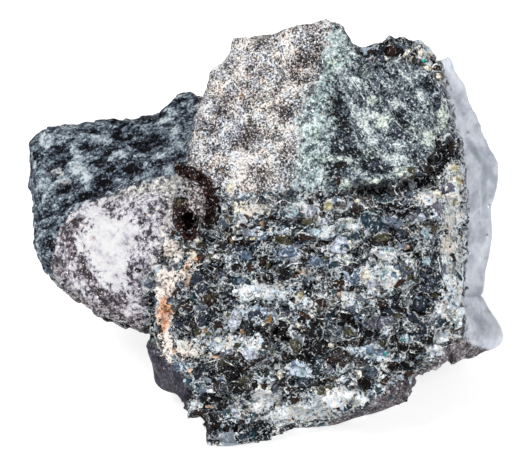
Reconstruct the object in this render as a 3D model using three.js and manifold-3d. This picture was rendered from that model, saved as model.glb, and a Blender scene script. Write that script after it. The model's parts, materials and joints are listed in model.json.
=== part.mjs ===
// Zinc ore hand specimen: one broken stone, in millimetres, +Z up, standing on its small flat foot.
// It is a coarse, glittering mass of dark zinc blende with a pale granular crown, a greenish shoulder,
// a dark wing and a white lobe on the left, and a grey slab behind on the right.
//
// The stone is laid out in its show frame, which is how it looks from the front: [across, rise, depth].
// Across runs right, rise runs up the face, and depth runs away behind it. At the end the stone leans
// back by LEAN_DEG, is cut flat where it stands, and is centred on its foot.

import * as THREE from "three";
import { ConvexGeometry } from "three/addons/geometries/ConvexGeometry.js";
import { ImprovedNoise } from "three/addons/math/ImprovedNoise.js";
import { MeshSurfaceSampler } from "three/addons/math/MeshSurfaceSampler.js";
import { TessellateModifier } from "three/addons/modifiers/TessellateModifier.js";
import { mergeVertices } from "three/addons/utils/BufferGeometryUtils.js";
import Module from "manifold-3d";

const wasm = await Module();
wasm.setup();

// Driving dimensions, in millimetres and degrees
const LEAN_DEG = 25; // how far the show face leans back when the stone stands on its foot
const FOOT_HEIGHT = -2.8; // height of the cut foot below the show frame's own origin, once leaned back
const FACET_EDGE = 5.2; // longest edge of a facet of the broken ground
const PLAIN_FACET_EDGE = 8; // the same for the plain masses at the back and right
const GRAINS = 84; // angular grains scattered over the glittering face

// The stone's main masses. Each is the convex hull of its corners, [across, rise, depth].
const MASSES = {
  glitterFace: [
    [-1, 36, 3.4], [12, 37, 1.8], [25, 38, 3.5], [30, 39.5, 8], [5, 28, 0.5], [18.5, 26.5, 0],
    [28.5, 27.5, 5], [30.5, 31.5, 9], [-11.5, 36.5, 7.5], [-12, 30, 6], [-15, 22.5, 8], [-6, 20, 1.5],
    [9.5, 15.5, 0.5],
    [25, 15.5, 4], [30, 15.5, 9], [-4, 7.5, 3], [9.5, 7.5, 2.5], [20.5, 9, 5], [-12, 10, 7],
    [-17.5, 15.5, 12], [-16.5, 9.5, 14],
    [-14.5, 31.5, 28], [-15.5, 14, 25], [-4, 3.5, 22], [18, 8, 26], [29, 16, 30], [30, 39.5, 30],
    [5.5, 49, 34], [-8, 42.5, 32],
  ],
  paleCrown: [
    [-4, 62, 13], [0, 63, 13], [5.5, 64, 12], [9.5, 64.6, 12], [12, 63, 12.5], [-8, 57, 13],
    [-9, 51.5, 11.5], [17, 58.5, 13.6], [17, 51, 10], [16.5, 38.5, 4.4],
    [-13.5, 42, 9], [-12, 36.5, 6.8], [-1, 34, 2.6], [11, 36, 1.4], [11, 51, 6.3], [12, 59, 10],
    [-7, 57.5, 26], [-0.5, 61.5, 29], [10, 64, 25], [13.5, 58.5, 31], [21.5, 46, 34],
    [-9.5, 44, 32], [5.5, 38, 34],
  ],
  greenShoulder: [
    [8, 62, 12.7], [14, 60.5, 10.8], [18.5, 61, 12], [25.5, 61, 14], [27.5, 57, 14], [29, 51.5, 12],
    [30, 43.5, 9.5], [30, 40, 7], [25, 39.5, 2.9], [12, 38.5, 1.6], [9, 39, 2.6], [8, 51, 7.9],
    [13.5, 60, 29], [25.5, 60, 30], [30, 52, 33], [29.5, 38, 33], [13.5, 38, 34],
  ],
  darkWing: [
    [-36.5, 39, 17], [-36, 46, 19], [-34, 48.5, 20.5], [-30, 49.5, 21.5], [-25.5, 50, 22],
    [-17.5, 51, 23], [-12, 51.5, 22], [-35.5, 32, 15], [-35, 28.5, 14.5], [-31.5, 23, 14.5],
    [-27.5, 35.5, 12.5], [-13, 42, 11], [-5, 45, 13], [-5, 51.5, 22],
    [-35, 45, 34], [-35.5, 32, 32], [-31, 23.5, 28], [-21.5, 19, 27], [-10.5, 52, 36], [-9, 36, 38],
    [-29.5, 48, 36], [-20, 50.5, 38],
  ],
  wingHorn: [
    [-18, 50.5, 23], [-14, 52.5, 22.5], [-11.5, 54.5, 22.5], [-9, 54, 21], [-8, 45.5, 18],
    [-14.5, 45.5, 17], [-4, 52, 22], [-4, 46, 18], [-17, 49, 33], [-12, 51, 36], [-6, 52, 36], [-7.5, 44, 36],
    [-16, 45, 36],
  ],
  whiteLobe: [
    [-13.5, 41.5, 10.5], [-20.5, 39.5, 11], [-25.5, 37.5, 11.5], [-29.5, 35, 12], [-32, 31, 13],
    [-32, 27, 13.5], [-29.5, 23.5, 13], [-25, 20, 12.5], [-21, 18, 12.5], [-17.5, 17.5, 12.5],
    [-15.5, 23.5, 9], [-13.5, 32, 9], [-23, 30, 8], [-19, 36, 9], [-26, 26, 9.5], [-20.5, 22.5, 9.5],
    [-8, 39, 9.5], [-8, 31, 9], [-10, 22, 10], [-31, 28.5, 27], [-25, 20, 26], [-18, 18, 28],
    [-18, 38, 30], [-12, 30, 30],
  ],
  step: [
    [-12, 9.5, 7], [-11.5, 5, 8], [-7.5, 4.5, 7], [-3, 4, 6], [-3, 8, 4], [-10, 10, 6.5],
    [-11.5, 8, 20], [-11.5, 5.5, 20], [-3, 4, 20],
  ],
  foot: [
    [-9, 5.5, 8.5], [-8.5, 1.5, 7], [-8, -0.5, 6], [-3, -0.5, 6.5], [-0.5, 0.5, 8], [1, 7.5, 5],
    [5.5, 2, 12], [10, 3, 14], [13.5, 4, 16], [17.5, 4.5, 20], [21, 6, 22], [23, 8, 23],
    [20.5, 9.5, 9], [10, 6.5, 5.5], [-9.5, 5, 24], [-9, 10, 34], [10, 11.5, 38], [23, 13, 36],
  ],
};

// The plain grey slab behind on the right, and the plain back of the stone, in the same way
const PLAIN_MASSES = {
  upperSlab: [
    [24, 58, 24], [29, 59.5, 22], [31.5, 52.5, 24], [34, 48, 25.5], [37, 43.5, 27], [37, 40.5, 27],
    [35.5, 32, 27], [34, 23.5, 26], [26, 52, 22], [26, 38, 21], [26, 24, 20],
    [28, 56, 34], [35, 42.5, 39], [33, 26, 38], [25, 22, 38], [25, 52.5, 37],
  ],
  lowerSlab: [
    [26, 22, 16], [34, 23.5, 24], [36, 20.5, 25], [37, 16.5, 25.5], [37, 15, 26.5], [32, 13, 22],
    [28, 11, 19], [24.5, 15.5, 11], [28.5, 22, 34], [35.5, 19, 34], [36, 17, 33], [29.5, 15, 33],
  ],
  rearMass: [
    [-24, 46, 28], [-27, 29, 27], [-17, 16, 29], [4, 9, 34], [28, 16, 34], [31, 28, 37], [28, 48, 35],
    [12, 59, 28], [-6, 54, 30], [0, 36, 41.5], [13, 30, 42], [-13, 40, 39], [17, 44, 40], [-4, 24, 39],
  ],
};

// Seeded random numbers from 0 to 1, so that the stone is the same each time
function dice(seed) {
  let state = seed;
  return () => {
    state = (state + 0x6d2b79f5) | 0;
    let t = Math.imul(state ^ (state >>> 15), 1 | state);
    t = (t + Math.imul(t ^ (t >>> 7), 61 | t)) ^ t;
    return ((t ^ (t >>> 14)) >>> 0) / 4294967296;
  };
}

// A closed three.js geometry as a solid that can be joined and cut
function solidOf(geometry) {
  const bare = geometry.clone();
  bare.deleteAttribute("normal");
  bare.deleteAttribute("uv");
  const merged = mergeVertices(bare, 1e-4);
  return new wasm.Manifold(
    new wasm.Mesh({
      numProp: 3,
      vertProperties: merged.attributes.position.array,
      triVerts: new Uint32Array(merged.index.array),
    }),
  );
}

function geometryOf(solid) {
  const { vertProperties, triVerts } = solid.getMesh();
  const indexed = new THREE.BufferGeometry();
  indexed.setAttribute("position", new THREE.Float32BufferAttribute(vertProperties, 3));
  indexed.setIndex(new THREE.Uint32BufferAttribute(triVerts, 1));
  const geometry = indexed.toNonIndexed();
  geometry.computeVertexNormals();
  return geometry;
}

// The one closed surface that holds the highest corner: the stone alone, without crumbs that the foot
// cut leaves loose or pockets sealed in between the grains
function outerShell(geometry) {
  geometry.deleteAttribute("normal");
  const merged = mergeVertices(geometry, 1e-5);
  const place = merged.getAttribute("position");
  const faces = merged.index.array;
  const leader = Array.from({ length: place.count }, (_, i) => i);
  const lead = (i) => {
    while (leader[i] !== i) i = leader[i] = leader[leader[i]];
    return i;
  };
  for (let i = 0; i < faces.length; i += 3) {
    leader[lead(faces[i])] = lead(faces[i + 1]);
    leader[lead(faces[i + 1])] = lead(faces[i + 2]);
  }
  let highest = 0;
  for (let i = 1; i < place.count; i++) if (place.getZ(i) > place.getZ(highest)) highest = i;
  const kept = [];
  for (let i = 0; i < faces.length; i += 3) {
    if (lead(faces[i]) === lead(highest)) kept.push(faces[i], faces[i + 1], faces[i + 2]);
  }
  merged.setIndex(kept);
  const shell = merged.toNonIndexed();
  shell.computeVertexNormals();
  return shell;
}

const corner = ([across, rise, depth]) => new THREE.Vector3(across, rise, -depth);

// Masses joined into one solid, their flat sides divided into facets
function joinMasses(masses, facetEdge) {
  const facets = new TessellateModifier(facetEdge, 12);
  return Object.values(masses)
    .map((corners) => solidOf(facets.modify(new ConvexGeometry(corners.map(corner)))))
    .reduce((all, mass) => all.add(mass));
}

const noise = new ImprovedNoise();

// A smooth push in all three directions, of about the given reach, that repeats every few wavelengths
function push(point, wavelength, reach, shift) {
  const [x, y, z] = point.clone().divideScalar(wavelength).addScalar(shift).toArray();
  return new THREE.Vector3(
    noise.noise(x, y, z),
    noise.noise(y + 31.7, z + 11.3, x + 5.9),
    noise.noise(z + 17.1, x + 23.9, y + 47.3),
  ).multiplyScalar(reach);
}

// Bends every flat side into uneven, broken ground
function roughen(geometry) {
  const place = geometry.getAttribute("position");
  const point = new THREE.Vector3();
  for (let i = 0; i < place.count; i++) {
    point.fromBufferAttribute(place, i);
    const swell = push(point, 15, 1.5, 0.37);
    const lumps = push(point, 6.5, 1.3, 7.83);
    point.add(swell).add(lumps);
    place.setXYZ(i, point.x, point.y, point.z);
  }
  geometry.computeVertexNormals();
  return geometry;
}

const UP = new THREE.Vector3(0, 1, 0);

// A crystal with flat faces, stretched by its three factors
function crystal(radius, [wide, tall, deep], random) {
  const shape = new THREE.IcosahedronGeometry(1);
  shape.applyMatrix4(new THREE.Matrix4().makeRotationAxis(UP, random() * Math.PI));
  shape.scale(radius * wide, radius * tall, radius * deep);
  return shape.rotateZ(random() * Math.PI);
}

// A broken grain: a box with its eight corners pulled out of place, then tilted
function fragment(radius, [wide, tall, deep], tilt, random) {
  const pulled = () => radius * (0.55 + 0.4 * random());
  const corners = [];
  for (const x of [-1, 1]) {
    for (const y of [-1, 1]) {
      for (const z of [-1, 1]) {
        corners.push(new THREE.Vector3(x * wide * pulled(), y * tall * pulled(), z * deep * pulled()));
      }
    }
  }
  const turn = () => (random() - 0.5) * tilt;
  return new ConvexGeometry(corners).rotateX(turn()).rotateY(turn()).rotateZ(2 * Math.PI * random());
}

// Sets a shape on the ground at a point, its own depth axis along the ground's normal
function setAt(shape, point, normal, rise) {
  const turn = new THREE.Quaternion().setFromUnitVectors(new THREE.Vector3(0, 0, 1), normal);
  shape.applyQuaternion(turn);
  const centre = point.clone().addScaledVector(normal, rise);
  return solidOf(shape.translate(centre.x, centre.y, centre.z));
}

const joined = joinMasses(MASSES, FACET_EDGE).add(joinMasses(PLAIN_MASSES, PLAIN_FACET_EDGE));
const ground = new THREE.Mesh(roughen(geometryOf(joined)));

// Where the ground lies under a place in the show view, and which way it faces there
function groundAt(across, rise) {
  const ray = new THREE.Raycaster(new THREE.Vector3(across, rise, 100), new THREE.Vector3(0, 0, -1));
  const [hit] = ray.intersectObject(ground);
  return { point: hit.point, normal: hit.face.normal.clone() };
}

// Crystals that stand out of the glittering face, [across, rise, radius, wide, tall]
const SHOWN_CRYSTALS = [
  [16.5, 34.2, 1.8, 1, 0.9], // deep teal, under the green shoulder
  [9.7, 36.3, 1, 1, 0.9], // amber
  [28, 42.3, 1.7, 1, 0.9], // honey yellow, on the right edge
  [28, 39.2, 2.1, 1, 1], // smoky, below it
  [1, 19.2, 1, 0.8, 1.3], // amber, beside the black hollow
  [5, 15.4, 1.3, 1, 1], // olive
  [-8.6, 18.6, 1.6, 1.4, 0.8], // olive brown
  [-4.6, 19.2, 1.7, 0.9, 1.3], // white, with a lilac cast
  [11.2, 30.7, 2, 1.1, 0.9], // grey white
  [18, 18.7, 2.2, 1.1, 1], // slate
  [24.3, 17.2, 1.8, 1, 1], // black
  [-12.7, 22.8, 1.3, 0.9, 1.1], // brown black
  [-8.7, 22.2, 1.6, 1, 1.1], // brown black
  [4, 33.4, 1.5, 1.3, 0.8], // olive grey
  [-2, 14.6, 1.8, 1.4, 0.8], // grey white
];
// Dark grains along the shoulder's top and right edge, [across, rise]
const RIM = [
  [13.5, 59], [16, 59.5], [18.5, 60], [21, 60.3], [23.5, 60], [25.3, 58], [26.6, 55.5], [27.4, 52.5],
];
// Shadowed band under the green shoulder, and the curved brown seam between crown and lobe, [across, rise]
const BAND = [
  [12, 39], [14.2, 39.3], [16.4, 39.3], [18.7, 39], [21, 39], [23.2, 39.6], [25, 41.1], [26.2, 42.7],
  [27.1, 45],
];
const SEAM = [
  [-12.6, 41.4], [-11.3, 40.9], [-10, 39.6], [-9, 38], [-8.3, 36.2], [-8.1, 34.2], [-8.5, 32.1],
  [-11.4, 35.2], [-11, 33.3],
];
const BLACK_HOLLOW = [2.6, 17.6];

const random = dice(1861);
const between = (low, high) => low + (high - low) * random();

const crystals = SHOWN_CRYSTALS.map(([across, rise, radius, wide, tall]) => {
  const { point, normal } = groundAt(across, rise);
  return setAt(crystal(radius, [wide, tall, 0.8], random), point, normal, 0.1 * radius);
});
const hollows = [...BAND, ...SEAM, BLACK_HOLLOW].map(([across, rise]) => {
  const { point, normal } = groundAt(across, rise);
  return setAt(fragment(1.9, [1.2, 1, 0.7], 0.8, random), point, normal, 0.3);
});
const rimGrains = RIM.map(([across, rise]) => {
  const { point, normal } = groundAt(across + between(-0.6, 0.6), rise + between(-0.8, 0.4));
  return setAt(fragment(between(1.2, 2.1), [1.3, 1, 1], 2, random), point, normal, between(-0.7, -0.1));
});

// Scatters a number of shapes over the part of the ground where they are wanted
const sampler = new MeshSurfaceSampler(ground).setRandomGenerator(random).build();
function scatter(count, wanted, make) {
  const made = [];
  const point = new THREE.Vector3();
  const normal = new THREE.Vector3();
  while (made.length < count) {
    sampler.sample(point, normal);
    if (wanted(point)) made.push(make(point, normal));
  }
  return made;
}
const onGlitterFace = ({ x, y, z }) => x > -14 && x < 30 && y > 7 && y < 37 && z > -10;
const grains = scatter(GRAINS, onGlitterFace, (point, normal) => {
  const shape = fragment(between(1.8, 3.4), [between(1, 1.5), 1, 0.8], 0.9, random);
  return setAt(shape, point, normal, between(-1.3, -0.7));
});

let stone = solidOf(ground.geometry);
for (const lump of [...grains, ...rimGrains]) stone = stone.add(lump);
for (const hollow of hollows) stone = stone.subtract(hollow);
for (const grown of crystals) stone = stone.add(grown);

// Leans the stone back as it stands, and cuts its foot flat on the ground plane
const leaned = geometryOf(stone).rotateX(Math.PI / 2 - THREE.MathUtils.degToRad(LEAN_DEG));
leaned.translate(0, 0, -FOOT_HEIGHT);
const GROUND_BLOCK = 200; // a block wider than the stone, whose top is the plane that it stands on
const below = new THREE.BoxGeometry(GROUND_BLOCK, GROUND_BLOCK, GROUND_BLOCK);
below.translate(0, 0, -GROUND_BLOCK / 2);
const standing = outerShell(geometryOf(solidOf(leaned).subtract(solidOf(below))));
standing.computeBoundingBox();
const { min, max } = standing.boundingBox;
standing.translate(-(min.x + max.x) / 2, -(min.y + max.y) / 2, -min.z);

const material = new THREE.MeshStandardMaterial({ color: 0x6f7478, roughness: 0.75, metalness: 0.05 });
const ore = new THREE.Mesh(standing, material);
ore.name = "zinc_ore";

const specimen = new THREE.Group();
specimen.add(ore);

export default specimen;
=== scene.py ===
"""Zinc ore hand specimen: a broken stone of coarse dark blende with a pale granular crown, a slate-green
shoulder, a dark wing, a white lobe, a red-brown seam and a smooth grey slab behind.

Everything is in metres in the model's own frame. The stone's surface is laid out in its front view: places
there are [right, down] in steps of 0.15 mm, with the view's centre at CENTRE.
"""

import json
import math

import bmesh
import bpy
import numpy as np
from mathutils import Euler, Matrix, Vector, noise
from mathutils.bvhtree import BVHTree

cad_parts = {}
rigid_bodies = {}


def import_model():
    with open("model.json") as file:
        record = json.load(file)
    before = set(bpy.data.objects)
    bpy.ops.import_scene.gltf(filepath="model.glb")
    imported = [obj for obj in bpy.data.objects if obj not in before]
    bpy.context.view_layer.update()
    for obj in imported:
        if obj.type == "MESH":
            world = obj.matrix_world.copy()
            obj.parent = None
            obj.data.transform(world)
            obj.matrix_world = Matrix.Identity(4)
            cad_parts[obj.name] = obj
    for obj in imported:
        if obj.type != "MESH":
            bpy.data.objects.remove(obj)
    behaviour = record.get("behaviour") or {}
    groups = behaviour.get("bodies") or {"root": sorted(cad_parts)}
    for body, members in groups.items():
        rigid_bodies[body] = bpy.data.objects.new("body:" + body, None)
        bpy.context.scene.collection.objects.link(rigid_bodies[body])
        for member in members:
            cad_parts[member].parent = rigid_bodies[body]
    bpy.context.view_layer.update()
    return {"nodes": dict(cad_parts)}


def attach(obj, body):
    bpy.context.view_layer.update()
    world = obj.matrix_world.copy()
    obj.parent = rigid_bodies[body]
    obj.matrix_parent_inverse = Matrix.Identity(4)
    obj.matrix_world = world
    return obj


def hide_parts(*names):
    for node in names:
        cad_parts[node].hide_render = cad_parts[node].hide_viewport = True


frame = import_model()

bl_info = {
    "name": "Zinc ore specimen",
    "version": (1, 0, 0),
    "blender": (4, 5, 0),
    "location": "3D View > Sidebar > Zinc ore",
    "description": "Builds the surface, grains, crystals and studio of a zinc ore hand specimen",
    "category": "Object",
}

MM = 0.001
LEAN = math.radians(25)  # the show face leans back by this much
VIEW_STEP = 0.15  # millimetres in one step of the front view
VIEW_SIZE = (531, 469)  # the front view's width and height, in its own steps
CENTRE = (VIEW_SIZE[0] / 2, VIEW_SIZE[1] / 2)
VIEW_RISE = 32.3  # height on the show face of that centre, in millimetres
VIEW_DISTANCE = 600.0  # from the camera to the show face, in millimetres
SHIFT = Vector((0.185, -29.549, 2.8))  # from the show face's own origin to the model's, in millimetres
TOWARDS = Vector((0, -math.cos(LEAN), math.sin(LEAN)))  # from the show face to the camera
UPWARDS = Vector((0, math.sin(LEAN), math.cos(LEAN)))  # up along the show face
ABOVE_FLOOR = (0.3, 1.8)  # relief and pulls set in between these heights, in millimetres
ORE_DEPTH = 14  # how far behind the show face the coarse ore reaches, in millimetres
RELIEF_LIMITS = (-1.2, 0.9)  # the lowest and highest relief, in millimetres

# Parts of the stone's surface: how deep behind the show face each reaches, in millimetres, and its outlines
ZONES = {
    "crown": (60, [
        [(331, 10), (333, 45), (324, 63), (313, 85), (303, 100), (299, 127), (302, 150), (300, 172),
         (290, 188), (272, 190), (250, 193), (230, 194), (212, 186), (203, 174), (186, 164), (196, 120),
         (200, 90), (205, 60), (225, 30), (262, 15)],
    ]),
    "mint": (60, [
        [(322, 60), (336, 15), (345, 28), (356, 56), (343, 75), (332, 100), (330, 130), (324, 150),
         (328, 175), (312, 192), (296, 187), (299, 150), (298, 127), (305, 100), (314, 84)],
    ]),
    "shoulder": (60, [
        [(330, 12), (352, 40), (362, 50), (380, 56), (405, 60), (430, 66), (444, 90), (452, 110),
         (450, 128), (440, 142), (430, 154), (415, 170), (400, 182), (380, 186), (345, 188), (320, 192),
         (300, 188), (300, 150), (306, 104), (322, 70)],
    ]),
    "rim": (30, [
        [(354, 46), (366, 43), (378, 45), (386, 38), (410, 36), (426, 40), (436, 50), (441, 62), (444, 78),
         (438, 78), (434, 71), (420, 63), (405, 61), (390, 63), (375, 61), (360, 55)],
    ]),
    # Painted shadow: a black band under the shoulder's lower lip, where its shade falls
    "band": (16, [
        [(352, 185), (370, 187), (390, 187), (406, 185), (418, 174), (428, 161), (436, 146), (446, 130),
         (452, 142), (446, 162), (437, 175), (424, 186), (410, 195), (390, 196), (368, 193), (354, 190)],
    ]),
    "seam": (30, [
        [(173, 164), (184, 164), (196, 169), (208, 178), (215, 190), (217, 206), (214, 222), (209, 232),
         (204, 226), (206, 212), (207, 199), (203, 188), (195, 180), (184, 177), (174, 171)],
        [(174, 196), (184, 200), (189, 211), (197, 219), (200, 228), (194, 242), (184, 238), (174, 220)],
    ]),
    "lobe": (26, [
        [(182, 175), (157, 179), (137, 186), (103, 199), (87, 203), (75, 213), (66, 222), (57, 238),
         (52, 263), (58, 285), (76, 300), (100, 315), (120, 325), (142, 331), (146, 302), (141, 282),
         (153, 268), (165, 240), (171, 222), (176, 197)],
    ]),
    "clean": (26, [
        [(92, 204), (104, 203), (108, 214), (116, 222), (124, 214), (134, 220), (140, 232), (136, 247),
         (130, 262), (127, 284), (118, 290), (104, 280), (92, 262), (80, 247), (78, 238), (94, 228),
         (86, 212)],
    ]),
    "olive": (26, [
        [(182, 174), (157, 178), (137, 185), (116, 195), (124, 198), (150, 190), (165, 192), (166, 220),
         (160, 246), (150, 262), (156, 268), (168, 240), (178, 206)],
    ]),
    "husk": (26, [
        [(48, 250), (54, 262), (58, 280), (68, 291), (84, 298), (100, 306), (112, 314), (126, 320),
         (146, 322), (150, 336), (110, 332), (70, 306), (44, 280)],
    ]),
    "patch": (30, [
        [(182, 180), (194, 182), (203, 190), (206, 204), (205, 222), (199, 230), (194, 216), (186, 206),
         (180, 196)],
    ]),
    "wing": (60, [
        [(10, 80), (207, 70), (205, 110), (196, 130), (186, 164), (176, 176), (157, 180), (130, 188),
         (103, 199), (86, 204), (74, 214), (66, 223), (57, 240), (52, 263), (60, 290), (40, 300),
         (10, 260)],
    ]),
    "vein": (20, [
        [(160, 268), (172, 266), (176, 276), (174, 290), (170, 300), (172, 322), (170, 346), (176, 358),
         (170, 364), (160, 344), (156, 318), (154, 292)],
        [(188, 250), (197, 252), (196, 264), (188, 276), (182, 286), (178, 282), (184, 266)],
        [(164, 234), (176, 238), (182, 250), (176, 262), (168, 262), (162, 250)],
    ]),
    "rust": (20, [
        [(160, 300), (172, 296), (176, 308), (168, 318), (164, 334), (158, 330), (156, 312)],
        [(192, 250), (206, 256), (202, 264), (192, 266)],
        [(186, 262), (192, 264), (190, 270), (184, 268)],
    ]),
    "crust": (24, [
        [(300, 392), (330, 388), (344, 380), (356, 390), (372, 392), (366, 402), (340, 412), (310, 422),
         (280, 424), (252, 412), (254, 398), (272, 392), (284, 396)],
        [(428, 334), (452, 332), (460, 338), (446, 344), (440, 356), (428, 356), (424, 346)],
        [(442, 170), (464, 164), (468, 200), (467, 260), (465, 322), (456, 326), (448, 300), (444, 250),
         (440, 205)],
    ]),
    "facet": (40, [
        [(140, 330), (158, 348), (168, 360), (184, 374), (190, 388), (188, 410), (150, 420), (120, 380)],
    ]),
    "under": (70, [
        [(320, 432), (340, 416), (366, 406), (384, 392), (398, 382), (412, 378), (430, 366), (446, 352),
         (446, 380), (430, 392), (400, 430), (330, 450), (300, 440)],
    ]),
    "heel": (60, [
        [(444, 344), (450, 338), (464, 338), (474, 346), (492, 350), (486, 364), (460, 376), (442, 370)],
    ]),
    "slab": (80, [
        [(434, 20), (439, 64), (447, 88), (452, 110), (458, 135), (463, 155), (466, 190), (466, 250),
         (464, 300), (466, 340), (440, 372), (430, 390), (560, 400), (560, 20)],
    ]),
}
ZONE_STARTS = {"slab": 4.0}  # zones that start only this far behind the show face, in millimetres
WANDER_DEPTH = (27, 42)  # behind these depths, in millimetres, the zones' borders wander
WANDER_REACH = 26  # how far they wander, in steps of the front view
WANDER_SIZE = 11.0  # length of one wave of that, in millimetres
FAR_SLOPE = 0.5  # how fast a zone fades with depth towards its deepest place
NEAR_SLOPE = 0.7  # the same towards the place that it starts at

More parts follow.
